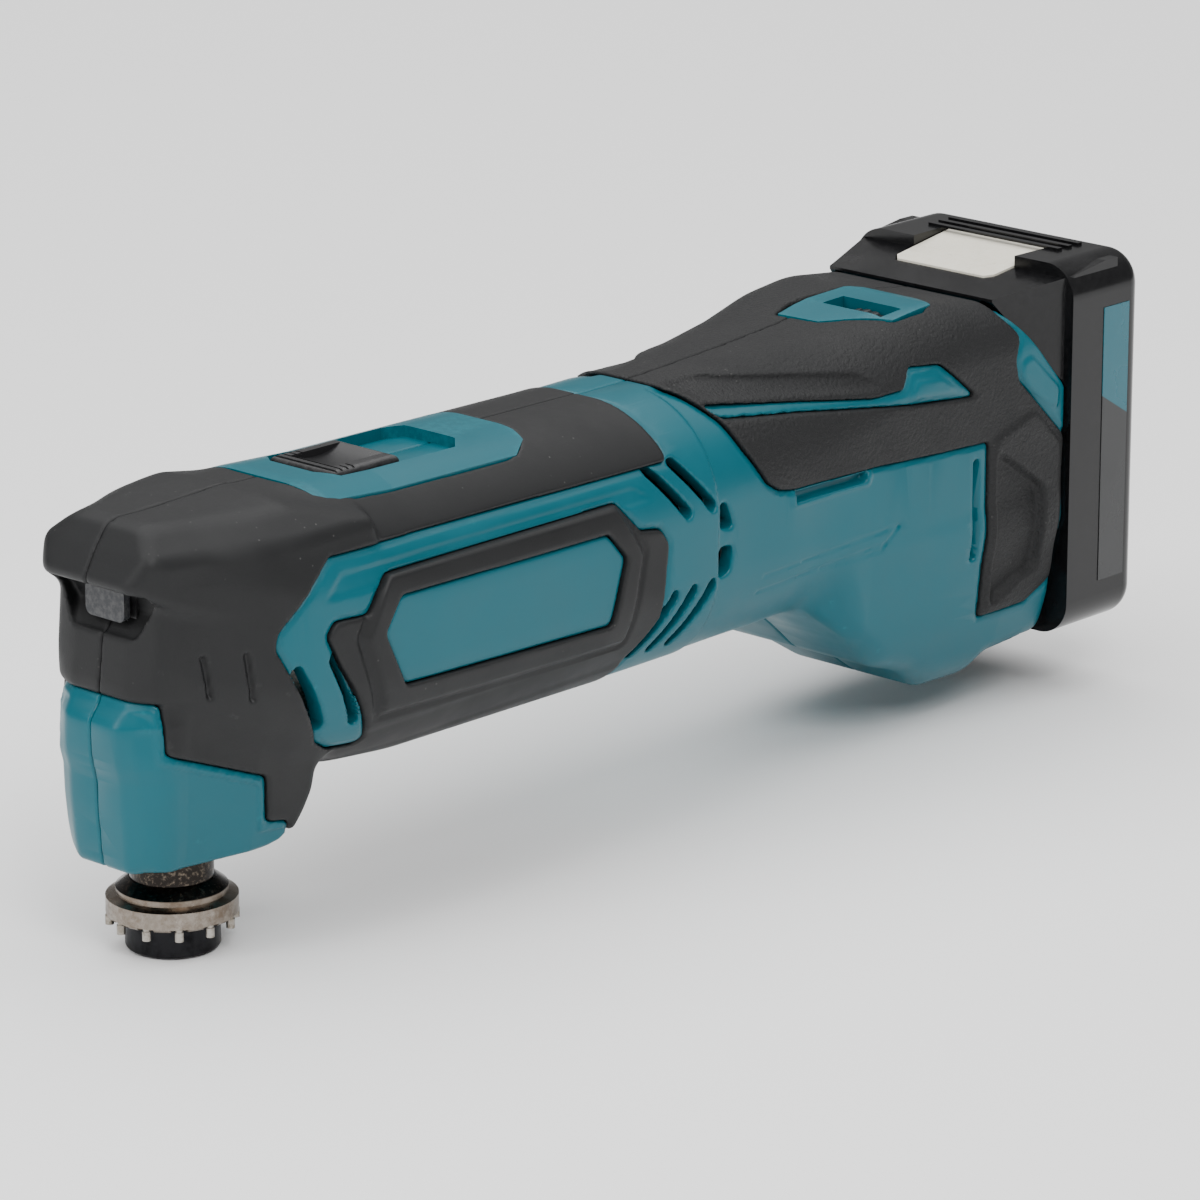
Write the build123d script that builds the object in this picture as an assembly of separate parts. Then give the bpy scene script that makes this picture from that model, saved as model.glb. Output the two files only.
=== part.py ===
from build123d import *
import os
from math import cos, pi, sin, sqrt

# ---------------------------------------------------------------------------
# Cordless oscillating multi-tool, millimetres.
# Origin: centre of the accessory seat, on the output spindle's axis.
# +Z up along the spindle, +X back along the barrel towards the battery.
# ---------------------------------------------------------------------------

# Outer form
motor_axis_z = 48.6          # height of the motor axis over the accessory seat
barrel_half_width = 26.4
barrel_half_height = 26.6
head_bottom_z = 12.4
head_half_width = 13.8
nose_reach = 19.4            # spindle axis to the front of the nose
collar_x = 104.0             # front of the ventilated collar
grip_length = 64.0           # collar front to the speed dial's plate
hump_length = 37.0           # dial plate to the battery's top front edge
bay_depth = 17.0             # how far the side walls reach past that edge
foot_z = 1.5                 # underside of the rear bracket

# Walls and fits
skin = 1.8                   # soft overmould
wall = 2.2                   # hard shell under the overmould
proud = 0.4                  # how far trim plates stand out
running = 0.05               # radial clearance of a running fit
slide_gap = 0.3              # clearance round sliding pieces
inner_gap = 0.25             # clearance between the shell and what it holds

# Output end
ring_r = 12.06
ring_height = 3.6
cone_r = 10.26
cone_step_z = 5.3
neck_start_z = 7.15
neck_r = 7.7
pin_r = 0.8
pin_root_r = 0.65
pin_circle_d = 22.8
pin_count = 12
pin_drop = 1.75
bolt_head_r = 8.7
bolt_head_h = 6.3
bolt_shank_r = 3.0
bolt_shank_length = 13.0
bolt_travel = 16.0
hex_flats = 5.0
spindle_r = 5.0
spindle_top_r = 4.0
lower_bearing_r = 9.5
upper_bearing_r = 8.0
bearing_height = 5.0
lower_bearing_z = 15.0
upper_bearing_z = 57.5
case_wall = 1.7

# Drive
throw = 0.6                  # eccentric throw
throw_play = 0.8             # room beyond the throw on each side of the fork
drive_bearing_r = 8.0
drive_bearing_w = 5.0
drive_bearing_x = 19.0
fork_arm = 3.0
fork_height = 8.0
snout_r = 17.0
snout_end_x = 28.0

# Motor
motor_r = 18.0
motor_x = 39.0
motor_length = 47.0
motor_wall = 1.4
magnet_t = 2.5
air_gap = 0.9
shaft_r = 2.5
fan_r = 19.6
fan_x = 30.0
fan_w = 6.5
fan_blades = 9
end_bell_length = 11.0
motor_bearing_r = 6.5
motor_bearing_w = 3.5
commutator_r = 6.0

# Slide switch
switch_front_x = 31.7
switch_length = 35.5
switch_half_width = 9.6
switch_travel = 6.0
switch_plate_t = 1.4
pad_length = 16.5
pad_height = 3.6

link_half_width = 4.0
link_t = 1.6
leg_length = 8.0

# Screws that join the two halves
screw_r = 1.5
screw_head_r = 2.8
screw_head_h = 2.0
screw_reach = 9.0
screw_seat = 13.5

# Speed dial
dial_r = 11.0
dial_w = 5.0
dial_y = -8.5
dial_top = 0.3               # rim below the top of its plate

# Battery
battery_half_width = 28.5
battery_depth = 22.7
battery_height = 77.3
battery_corner = 7.0
battery_room_corner = 2.2
battery_wall = 1.8
rail_block_half_width = 21.6
rail_block_depth = 10.0
rail_depth = 2.2
rail_width = 2.4
cell_r = 8.8
cell_length = 65.0
button_travel = 2.5
battery_travel = 80.0

blade_t = 0.8
blade_gap = 0.5
blade_pitch = 10.0
terminal_half_width = 15.0
terminal_height = 22.0
terminal_rise = 8.0          # over the underside of the battery

# Places that follow from the sizes above
barrel_top = motor_axis_z + barrel_half_height
barrel_bottom = motor_axis_z - barrel_half_height
dial_plate_x = collar_x + grip_length
lip_x = dial_plate_x + hump_length
bay_x = lip_x + bay_depth
hump_top = barrel_top + 5.6
lip_z = barrel_top + 3.4
slope_end_z = lip_z - 18.6
battery_front_x = bay_x + slide_gap
battery_bottom_z = foot_z + 5.5
battery_top_z = battery_bottom_z + battery_height
battery_back_x = battery_front_x + battery_depth
channel_x = bay_x - rail_block_depth - slide_gap
switch_top_z = barrel_top - 2.0
link_z = motor_axis_z + motor_r + 0.4
deep = skin + wall
terminal_z = battery_bottom_z + terminal_rise
far = 60.0


def export(name, shape):
    """Write one named piece as its own file."""
    solids = shape.solids()
    body = solids[0] if len(solids) == 1 else Compound(children=list(solids))
    export_step(body, "parts/" + name + ".step")


def box(x, y, z):
    """Box from three (low, high) pairs."""
    size = [pair[1] - pair[0] for pair in (x, y, z)]
    middle = [(pair[1] + pair[0]) / 2 for pair in (x, y, z)]
    return Pos(*middle) * Box(*size)


def rod_x(r, x0, x1, y=0.0, z=motor_axis_z):
    """Cylinder along X."""
    return Pos((x0 + x1) / 2, y, z) * Rot(0, 90, 0) * Cylinder(r, x1 - x0)


def rod_z(r, z0, z1, x=0.0, y=0.0):
    """Cylinder along Z."""
    return Pos(x, y, (z0 + z1) / 2) * Cylinder(r, z1 - z0)


def rod_y(r, y0, y1, x=0.0, z=0.0):
    """Cylinder along Y."""
    return Pos(x, (y0 + y1) / 2, z) * Rot(90, 0, 0) * Cylinder(r, y1 - y0)


def tube_x(r_out, r_in, x0, x1, z=motor_axis_z):
    return rod_x(r_out, x0, x1, z=z) - rod_x(r_in, x0 - 1, x1 + 1, z=z)


def tube_z(r_out, r_in, z0, z1, x=0.0):
    return rod_z(r_out, z0, z1, x) - rod_z(r_in, z0 - 1, z1 + 1, x)


def side_prism(points, y0=-far, y1=far):
    """Outline given as (x, z) points, run across the tool."""
    wire = Polyline([(x, 0, z) for x, z in points], close=True)
    face = make_face(wire).face()
    up = 1 if face.normal_at().Y > 0 else -1
    return Pos(0, y0, 0) * extrude(face, amount=up * (y1 - y0))


def plan_prism(points, z0, z1):
    """Outline given as (x, y) points, run upwards."""
    face = make_face(Polyline([(x, y, 0) for x, y in points], close=True)).face()
    up = 1 if face.normal_at().Z > 0 else -1
    return Pos(0, 0, z0) * extrude(face, amount=up * (z1 - z0))


def left(shape):
    return shape & box((-far, 400), (-far, 0), (-far, 150))


def right(shape):
    return shape & box((-far, 400), (0, far), (-far, 150))


# ---------------------------------------------------------------------------
# The outer form, and the same form moved in or out by a given distance
# ---------------------------------------------------------------------------

def barrel_sections():
    """x, half width, bottom, top and corner radius of the barrel and the rear."""
    w, top, bottom = barrel_half_width, barrel_top, barrel_bottom
    return [
        (-10, 15.5, motor_axis_z - 6, top - 2.2, 9),
        (0, 20.5, motor_axis_z - 13, top + 0.3, 13),
        (12, 24.4, motor_axis_z - 20, top + 1.2, 17),
        (26, w - 0.4, bottom + 2.0, top + 1.4, 20),
        (42, w, bottom + 0.2, top + 1.0, 22),
        (collar_x, w, bottom, top + 0.4, 22),
        (collar_x + 22, w - 0.4, bottom + 0.4, top + 0.6, 21),
        (collar_x + 44, w - 0.7, bottom + 1.6, top + 1.9, 20),
        (dial_plate_x - 4, w - 0.3, bottom + 2.4, top + 3.2, 17),
        (dial_plate_x + 10, w + 0.4, bottom + 2.4, hump_top - 0.4, 14),
        (dial_plate_x + 22, w + 1.3, bottom + 2.4, hump_top, 12),
        (lip_x, w + 1.8, bottom + 2.4, lip_z, 10),
        (bay_x, w + 2.0, bottom + 2.4, lip_z, 10),
    ]


def head_sections():
    """z, front x, rear x, half width and corner radius of the upright head."""
    w = head_half_width
    return [
        (head_bottom_z, -nose_reach + 2.7, 15.5, w - 1.2, 5),
        (head_bottom_z + 5.4, -nose_reach + 2.3, 20.5, w, 5),
        (head_bottom_z + 16, -nose_reach + 1.7, 20.0, w + 0.4, 5),
        (head_bottom_z + 28, -nose_reach + 0.1, 16.0, w + 0.6, 5),
        (head_bottom_z + 32.5, -nose_reach + 3.8, 12.0, w + 0.4, 5),
        (barrel_top - 6.0, -nose_reach + 4.8, 10.0, w + 0.2, 5),
    ]


def visor_sections():
    """z, front x, rear x, half width and corner radius of the nose."""
    top = barrel_top
    return [
        (top - 18.6, -nose_reach + 4.6, 10.0, 14.0, 5),
        (top - 13.0, -nose_reach + 1.0, 10.0, 14.6, 5),
        (top - 8.4, -nose_reach, 10.0, 15.2, 5),
        (top - 3.6, -nose_reach + 3.0, 10.0, 14.4, 5),
        (top + 0.2, -nose_reach + 7.6, 10.0, 10.5, 5),
    ]


def bracket_sections():
    """z, front x, rear x, half width and corner radius of the rear bracket."""
    w = barrel_half_width
    return [
        (foot_z, lip_x - 14.0, lip_x - 2.0, w - 6.0, 5),
        (foot_z + 5.3, lip_x - 24.0, lip_x + 3.0, w - 2.5, 7),
        (foot_z + 15, lip_x - 35.0, bay_x, w + 0.4, 9),
        (barrel_bottom + 8, lip_x - 45.0, bay_x, w + 1.0, 9),
        (barrel_bottom + 14, lip_x - 45.0, bay_x, w + 0.4, 9),
    ]


def section_yz(x, w, z0, z1, r, grow):
    """One rounded upright section across the tool, grown by a distance."""
    size = (2 * (w + grow), z1 - z0 + 2 * grow)
    r = min(max(r + grow, 2.0), 0.45 * min(size))
    rect = RectangleRounded(*size, r)
    return Plane(origin=(x, 0, (z0 + z1) / 2), x_dir=(0, 1, 0), z_dir=(1, 0, 0)) * rect


def section_xy(z, x0, x1, w, r, grow):
    """One rounded level section, grown by a distance."""
    size = (x1 - x0 + 2 * grow, 2 * (w + grow))
    r = min(max(r + grow, 2.0), 0.45 * min(size))
    rect = RectangleRounded(*size, r)
    return Pos((x0 + x1) / 2, 0, z) * rect


def barrel(grow):
    rows = barrel_sections()
    rows[0] = (rows[0][0] - grow,) + rows[0][1:]
    rows[-1] = (rows[-1][0] + grow,) + rows[-1][1:]
    return loft([section_yz(*row, grow).face() for row in rows], ruled=True)


def upright(rows, grow):
    """Stack of level sections, with its lower and upper ends moved as well."""
    rows = list(rows)
    rows[0] = (rows[0][0] - grow,) + rows[0][1:]
    rows[-1] = (rows[-1][0] + grow,) + rows[-1][1:]
    return loft([section_xy(*row, grow).face() for row in rows], ruled=True)


def rear_slope(grow):
    """What is cut off above the slope that the battery's nose hangs over."""
    return side_prism([
        (lip_x + grow, lip_z + 40),
        (lip_x + grow, lip_z + grow),
        (bay_x + 1.4 * grow, slope_end_z + grow),
        (bay_x + 40, slope_end_z + grow),
        (bay_x + 40, lip_z + 40),
    ])


def form(grow):
    """The whole outer form, moved outwards by grow."""
    body = barrel(grow) + upright(head_sections(), grow) + upright(visor_sections(), grow)
    body = body + upright(bracket_sections(), grow)
    return body - rear_slope(grow)


def hollows(grow):
    """The rooms inside the shell: barrel, head and bracket."""
    room = barrel(grow) - rear_slope(grow)
    return [room, upright(head_sections(), grow), upright(bracket_sections(), grow)]


def within(rooms, tool):
    """What the rooms hold of a tool shape, in one piece."""
    held = [room & tool for room in rooms]
    held = [piece for piece in held if piece is not None and piece.volume > 0.01]
    whole = held[0]
    for piece in held[1:]:
        whole = whole + piece
    return whole


# ---------------------------------------------------------------------------
# Outlines on the side of the tool
# ---------------------------------------------------------------------------

def front_grip_outline():
    """Soft cover of the head, with the frame round the badge."""
    a, c = motor_axis_z, collar_x
    return [
        (-30, a - 3.6), (-13, a - 3.6), (-13, a - 13), (8.5, a - 21.3), (9, a - 30.1),
        (14, a - 31.1), (24, a - 40), (c - 7, a - 40), (c - 6.5, a - 17.7), (c - 1.3, a - 11),
        (c - 0.5, a - 2.6), (c + 0.3, a + 3.3), (c - 2, a + 6.5), (c - 7.5, a + 7.3),
        (c - 12.6, a + 13.4), (30.3, a + 13.3), (27.7, a + 10.6), (25.2, a + 6.9),
        (17.8, a + 7), (16, a + 4.6), (19.1, a - 1.6), (22.9, a - 7.7), (28.4, a - 17.8),
        (27.2, a - 18.8), (21.1, a - 18.8), (17, a - 16.3), (12.1, a - 8.7), (7.7, a - 0.4),
        (5.2, a + 4.1), (5.8, a + 7.2), (13.8, a + 15.2), (18, a + 18.7), (c + 3.9, a + 17.8),
        (c + 4.2, a + 19.7), (c, a + 40), (-30, a + 40),
    ]


def rear_grip_outline():
    """Soft cover of the grip and the rear, with the bumper."""
    a, c, e = motor_axis_z, collar_x, lip_x
    return [
        (c + 17, a + 40), (c + 17, a + 27), (c + 19, a + 25.7), (c + 22.7, a + 21.1),
        (c + 24.7, a + 16.1), (c + 27.4, a + 11.8), (c + 29.3, a + 8.9), (c + 32.5, a + 6.9),
        (c + 37, a + 6.1), (c + 60, a + 5.8), (e - 14, a + 4.6), (e - 11, a + 4.4),
        (e - 11, a - 32), (e - 6, a - 32.4), (e + 4, a - 29), (e + 12, a - 24),
        (e + 14, a + 3.5), (e + 2, a + 15.3), (e + 1, a + 19.7), (e + 3, a + 24.2),
        (e, a + 28.2), (e - 3, a + 40),
    ]


def stripe_outline():
    """Hard stripe that shows through the rear cover."""
    a, c, e = motor_axis_z, collar_x, lip_x
    return [
        (c + 28.8, a + 21.4), (c + 30.1, a + 19.1), (c + 53.9, a + 18.1),
        (e - 26.3, a + 15.9), (e - 7, a + 12.6), (e - 17, a + 20.6), (e - 26, a + 21.6),
        (e - 29, a + 18.4), (c + 53.8, a + 20.0),
    ]


def badge_outline(grow=0.0):
    """Plate in the frame on the side of the barrel."""
    a, c, g = motor_axis_z, collar_x, grow
    return [
        (28.5 - g, a + 2.9), (32.5 - g, a + 9.2 + g), (c - 17 + g, a + 8.8 + g),
        (c - 12.2 + g, a + 3.3), (c - 16 + g, a - 9.2 - g), (33.5 - g, a - 7.8 - g),
    ]


def bezel_outline():
    """Plate round the slide switch, seen from above."""
    x0, x1 = switch_front_x - 8.7, switch_front_x + switch_length + 13
    return [
        (x0, -9), (x0 + 1, -14), (x0 + 3.5, -15.6), (x1 - 6, -15.6), (x1 - 1, -12.5),
        (x1, -9), (x1, 9), (x1 - 1, 12.5), (x1 - 6, 15.6), (x0 + 3.5, 15.6),
        (x0 + 1, 14), (x0, 9),
    ]


def switch_window(grow=0.0):
    x0, x1 = switch_front_x - grow, switch_front_x + switch_length + grow
    w = switch_half_width + grow
    return [
        (x0, -w + 4), (x0 + 3, -w), (x1 - 3, -w), (x1, -w + 3),
        (x1, w - 3), (x1 - 3, w), (x0 + 3, w), (x0, w - 4),
    ]


def dial_plate_outline(grow=0.0):
    """Plate round the speed dial, seen from above."""
    x, g = dial_plate_x, grow
    return [
        (x + 0.5 - g, 3 + g), (x + 1 - g, -7), (x + 10.5 - g, -18 - g), (x + 22 + g, -18 - g),
        (x + 24 + g, -13), (x + 24.3 + g, 1), (x + 21, 3.6 + g), (x + 6, 3.6 + g),
    ]


def dial_centre_x():
    return dial_plate_x + 12.5


def dial_centre_z():
    return hump_top - 2.6 - dial_top - dial_r


# ---------------------------------------------------------------------------
# Shells
# ---------------------------------------------------------------------------

def slot_prism(points, width):
    """Rounded slot along a straight line between two (x, z) points."""
    (x0, z0), (x1, z1) = points
    dx, dz = x1 - x0, z1 - z0
    length = sqrt(dx * dx + dz * dz)
    ux, uz = dx / length, dz / length
    nx, nz = -uz * width / 2, ux * width / 2
    return side_prism([(x0 + nx, z0 + nz), (x1 + nx, z1 + nz),
                       (x1 - nx, z1 - nz), (x0 - nx, z0 - nz)])


def vent_cutters():
    """Every cooling slot on both sides of the shell."""
    a, c = motor_axis_z, collar_x
    lines = [((9.5, a), (15.5, a - 12.5)), ((17.5, a), (23.5, a - 12.5))]
    lines += [((c - 1.7 + 7 * i, a + 17.4), (c + 6.1 + 7 * i, a + 7.8)) for i in range(2)]
    lines += [((c + 2.5 + 5.4 * i, a - 7.4), (c - 5 + 5.4 * i, a - 18)) for i in range(3)]
    slots = [slot_prism(line, 2.4) for line in lines]
    slots += [side_prism([(c + 15.7, a + 7.6), (c + 17.6, a + 7.4),
                          (c + 19.6, a + 2.4), (c + 15.6, a + 2.8)])]
    slots += [side_prism([(c + 15.4, a - 1.2), (c + 19.5, a - 1.5),
                          (c + 18.5, a - 6.2), (c + 15.4, a - 7)])]
    middle = box((-far, 400), (-15, 15), (-far, 150))
    return [slot - middle for slot in slots]


def recess_cutter():
    """Pocket for the work light under the nose."""
    z0, z1 = barrel_top - 18.4, barrel_top - 9.0
    points = [(-nose_reach - 3, z0 - 1.2), (-14.6, z0), (-12.4, z1 - 3.4), (-14.2, z1),
              (-nose_reach - 3, z1 - 1.6)]
    seat = box((-15, -11.0), (-5.8, 5.8), (z0 + 1.0, z1 - 0.6))
    return side_prism(points, -9.5, 9.5) + seat


def rib(x0, x1, r_seat, room):
    """Web across the barrel that holds something round on the motor axis."""
    slab = box((x0, x1), (-far, far), (-far, 150))
    return (room & slab) - rod_x(r_seat, x0 - 1, x1 + 1)


def screw_places():
    """x, z and reach on each side of the screws that join the halves."""
    return [
        (24.5, motor_axis_z + 21.5), (26.2, barrel_bottom + 6.0), (collar_x - 10, barrel_bottom + 3.8),
        (collar_x + 14, barrel_bottom + 7), (collar_x + 40, barrel_bottom + 9),
        (collar_x + 60, motor_axis_z + 23.0), (lip_x - 14, foot_z + 9),
    ]


def hollow_for_dial():
    x, z = dial_centre_x(), dial_centre_z()
    return rod_x(dial_r + 0.6, x - dial_w / 2 - 0.6, x + dial_w / 2 + 0.6, dial_y, z)


def webs_and_bosses(side):
    """Ribs, decks and screw bosses inside one half."""
    rooms = [side(room) for room in hollows(-deep)]
    room = rooms[0]
    deck = (motor_axis_z - 1.5, motor_axis_z)
    pieces = [
        rib(13, 16, snout_r, room),
        rib(motor_x + 9, motor_x + 12, motor_r, room),
        rib(motor_x + motor_length - 12, motor_x + motor_length - 9, motor_r, room),
        room & box((collar_x + 15, dial_plate_x - 2), (-far, far), deck),
        room & box((dial_plate_x + 3, channel_x), (-far, far), deck),
        within(rooms, box((channel_x - wall, channel_x), (-far, far), (-far, 150))),
    ]
    pieces += [within(rooms, rod_y(3.6, -far, far, x, z)) for x, z in screw_places()]
    return pieces


def shell_openings():
    """Everything cut through the shell after its webs are in."""
    cuts = [neck_opening(), recess_cutter(), hollow_for_dial()]
    cuts += switch_cutters() + vent_cutters()
    cuts += [box((channel_x - wall - 1, channel_x + 1), (-terminal_half_width, terminal_half_width),
                 (terminal_z, terminal_z + terminal_height))]
    for x, z in screw_places():
        cuts += [rod_y(screw_r, -screw_reach, far, x, z)]
        cuts += [rod_y(screw_head_r + 0.2, screw_seat - screw_head_h, far, x, z)]
    return cuts


def mouth_r():
    """Opening under the head, just wider than the lower bearing."""
    return lower_bearing_r + inner_gap


def neck_opening():
    return rod_z(mouth_r(), -5, head_bottom_z + deep + 1)


def shell_half(outer, covers, side):
    """Hard shell of one half, with webs, bosses, battery rail and openings."""
    body = side(outer)
    for room in hollows(-deep):
        body = body - side(room)
    for cover in covers:
        body = body - side(cover)
    for web in webs_and_bosses(side):
        body = body + web
    half = rail_block_half_width + slide_gap
    body = body - box((channel_x, bay_x + 5), (-half, half), (battery_bottom_z, 150))
    middle = channel_x + 4.6
    for end in (-1, 1):
        reach = sorted([end * (half - rail_depth), end * (half + 0.5)])
        rail = side(box((middle - rail_width / 2, middle + rail_width / 2), reach,
                        (battery_bottom_z + 4, slope_end_z - 6)))
        if rail is not None:
            body = body + rail
    for cut in shell_openings():
        part = side(cut)
        if part is not None and part.volume > 0.01:
            body = body - part
    return body


def switch_cutters():
    """Room for the slide's plate, its leg and the bar behind it."""
    half, low = link_half_width + 0.6, link_z - slide_gap
    plate_end = switch_front_x + switch_length + switch_travel + 3
    leg_end = switch_front_x + 8 + leg_length + switch_travel + 1
    plate = box((switch_front_x - 3, plate_end), (-switch_half_width - 0.6, switch_half_width + 0.6),
                (switch_top_z - switch_plate_t - slide_gap, 150))
    bar = box((snout_end_x + 4, power_switch_x() + switch_travel + 14), (-half, half),
              (low, link_z + link_t + slide_gap))
    leg = box((switch_front_x + 8, leg_end), (-half, half), (low, 150))
    return [plate, bar, leg]


def power_switch_x():
    return collar_x + 16


# ---------------------------------------------------------------------------
# Output end
# ---------------------------------------------------------------------------

def pin_points():
    step = 2 * pi / pin_count
    start = step / 2 + 0.135
    r = pin_circle_d / 2
    return [(r * cos(start + i * step), r * sin(start + i * step)) for i in range(pin_count)]


def drive_flange():
    """Ring, cone and neck that the accessory is clamped against."""
    profile = [
        (spindle_r, 0), (ring_r - 0.4, 0), (ring_r, 0.4), (ring_r, ring_height),
        (cone_r, ring_height + 0.6), (cone_r, cone_step_z), (neck_r + 0.2, neck_start_z),
        (neck_r, neck_start_z), (neck_r, lower_bearing_z - 0.4), (spindle_r, lower_bearing_z - 0.4),
    ]
    face = make_face(Polyline([(x, 0, z) for x, z in profile], close=True))
    flange = revolve(face, axis=Axis.Z)
    for x, y in pin_points():
        flange = flange - rod_z(pin_root_r, -1, ring_height - 1.2, x, y)
        flange = flange - rod_z(2 * pin_r, -1, 0.5, x * 1.06, y * 1.06)
    return flange


def flange_pins():
    pins = [rod_z(pin_r, -pin_drop, 0, x, y) + rod_z(pin_root_r, 0, ring_height - 1.2, x, y)
            for x, y in pin_points()]
    return Compound(children=pins)


def output_spindle():
    top = upper_bearing_z + bearing_height + 0.6
    shaft = rod_z(spindle_r, 0, upper_bearing_z) + rod_z(spindle_top_r, upper_bearing_z, top)
    return shaft - rod_z(bolt_shank_r + running, -1, bolt_shank_length + 1.5)


def clamp_bolt():
    """Bolt with a broad head and a six-sided socket, screwed up into the spindle."""
    head = rod_z(bolt_head_r, -bolt_head_h, 0)
    head = fillet(head.edges().sort_by(Axis.Z)[0], 0.8)
    bolt = head + rod_z(bolt_shank_r, 0, bolt_shank_length)
    socket = extrude(RegularPolygon(hex_flats / sqrt(3), 6), amount=3.6)
    return bolt - Pos(0, 0, -bolt_head_h - 0.1) * socket


def bearing_z(r_in, r_out, z0):
    """Shielded ball bearing on the spindle, outer ring, shield and inner ring."""
    ring = tube_z(r_out, r_in + running, z0, z0 + bearing_height)
    groove_out, groove_in = r_out - 1.2, r_in + running + 1.0
    for z in (z0 - 1, z0 + bearing_height - 0.3):
        ring = ring - tube_z(groove_out, groove_in, z, z + 1.3)
    return ring


def bearing_x(r_in, r_out, x0, width):
    ring = tube_x(r_out, r_in + running, x0, x0 + width)
    for x in (x0 - 1, x0 + width - 0.3):
        ring = ring - tube_x(r_out - 1.2, r_in + running + 1.0, x, x + 1.3)
    return ring


def dust_seal():
    """Felt washer in the mouth of the head."""
    return tube_z(mouth_r(), neck_r + slide_gap, head_bottom_z + 0.3, head_bottom_z + 1.7)


def gear_case():
    """Light alloy case that carries the spindle's bearings and the motor's front."""
    low, high = lower_bearing_z - 0.6, upper_bearing_z + bearing_height + 1.4
    body = rod_z(lower_bearing_r + case_wall, low, high) + rod_x(snout_r, 4, snout_end_x)
    body = within(hollows(-deep - inner_gap)[:2], body)
    body = body - rod_z(lower_bearing_r, low - 1, lower_bearing_z + bearing_height)
    body = body - rod_z(lower_bearing_r - 1.2, low, upper_bearing_z - 1)
    body = body - rod_z(upper_bearing_r, upper_bearing_z, upper_bearing_z + bearing_height)
    body = body - rod_z(upper_bearing_r - 1.5, upper_bearing_z - 3, high - 0.8)
    body = body - rod_x(snout_r - 2, 1.0, snout_end_x + 1)
    return body


def fork_lever():
    """Lever on the spindle whose two arms straddle the eccentric's bearing."""
    half_gap = drive_bearing_r + throw + throw_play
    z0, z1 = motor_axis_z - fork_height / 2, motor_axis_z + fork_height / 2
    hub = tube_z(spindle_r + 2.6, spindle_r, z0 - 3, z1 + 3)
    bridge = box((spindle_r + 1, spindle_r + 4), (-half_gap - fork_arm, half_gap + fork_arm), (z0, z1))
    lever = hub + (bridge - rod_z(spindle_r + 1, z0 - 9, z1 + 9))
    for side in (-1, 1):
        reach = sorted([side * half_gap, side * (half_gap + fork_arm)])
        arm = box((spindle_r + 1, drive_bearing_x + drive_bearing_w + 1), reach, (z0, z1))
        lever = lever + arm
    return lever


# ---------------------------------------------------------------------------
# Motor and drive
# ---------------------------------------------------------------------------

def eccentric_bush():
    """Bush on the motor shaft, bored off centre, with its balance weight."""
    z = motor_axis_z + throw
    x0, x1 = drive_bearing_x - 1, fan_x - 0.6
    bush = rod_x(4.0, x0, drive_bearing_x + drive_bearing_w, z=z)
    bush = bush + rod_x(6.0, drive_bearing_x + drive_bearing_w, x1)
    weight = rod_x(10.0, x1 - 2.8, x1) & box((0, 90), (-far, far), (-far, motor_axis_z - 1))
    return bush + weight - rod_x(shaft_r, x0 - 1, x1 + 1)


def drive_bearing():
    z = motor_axis_z + throw
    ring = tube_x(drive_bearing_r, 4.0, drive_bearing_x, drive_bearing_x + drive_bearing_w, z=z)
    for x in (drive_bearing_x - 1, drive_bearing_x + drive_bearing_w - 0.3):
        ring = ring - tube_x(drive_bearing_r - 1.1, 5.0, x, x + 1.3, z=z)
    return ring


def cooling_fan():
    hub = rod_x(5.5, fan_x, fan_x + fan_w)
    disc = rod_x(fan_r, fan_x + fan_w - 1.2, fan_x + fan_w)
    fan = hub + disc
    for i in range(fan_blades):
        blade = box((fan_x + 0.4, fan_x + fan_w - 1.0), (-0.6, 0.6), (8.6, fan_r - 0.2))
        turned = Rot(0, 0, 0) * (Pos(0, 0, motor_axis_z) * (Rot(360 / fan_blades * i, 0, 0) * blade))
        fan = fan + turned
    fan = fan + (tube_x(9.6, 5.0, fan_x + fan_w - 2.2, fan_x + fan_w))
    return fan - rod_x(shaft_r, fan_x - 1, fan_x + fan_w + 1)


def motor_end_x():
    return motor_x + motor_length


def motor_can():
    x0, x1 = motor_x, motor_end_x()
    can = rod_x(motor_r, x0, x1) - rod_x(motor_r - motor_wall, x0 + motor_wall, x1 + 1)
    can = can + rod_x(motor_bearing_r + 1.4, x0, x0 + motor_bearing_w + 0.6)
    can = can - rod_x(motor_bearing_r, x0 + 0.6, x0 + motor_bearing_w + 2)
    can = can - rod_x(shaft_r + 1.5, x0 - 1, x0 + 2)
    for i in range(6):
        hole = Pos(0, 0, motor_axis_z) * (Rot(60 * i, 0, 0) * (Pos(x0, 0, 12.2) * (
            Rot(0, 90, 0) * Cylinder(2.2, 8))))
        can = can - hole
    return can


def field_magnets():
    r1 = motor_r - motor_wall
    ring = tube_x(r1, r1 - magnet_t, motor_x + 6, motor_end_x() - 4)
    gap = box((0, 200), (-far, far), (motor_axis_z - 4, motor_axis_z + 4))
    both = ring - gap
    return Compound(children=both.solids())


def armature():
    """Laminated core with its slots, and the wound coils that fill them."""
    r = motor_r - motor_wall - magnet_t - air_gap
    x0, x1 = motor_x + 8, motor_end_x() - 9
    core = rod_x(r, x0, x1)
    coils = tube_x(r - 1.6, shaft_r + 1, x0 - 3.5, x0) + tube_x(r - 1.6, shaft_r + 1, x1, x1 + 3.5)
    for i in range(9):
        turn = Rot(40 * i, 0, 0)
        slot = Pos(0, 0, motor_axis_z) * (turn * box((x0 - 1, x1 + 1), (-1.3, 1.3), (r - 5.2, r + 1)))
        coil = Pos(0, 0, motor_axis_z) * (turn * box((x0, x1), (-1.3, 1.3), (r - 5.2, r - 1.8)))
        core = core - slot
        coils = coils + coil
    core = core - rod_x(shaft_r, x0 - 1, x1 + 1)
    return core, coils


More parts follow.
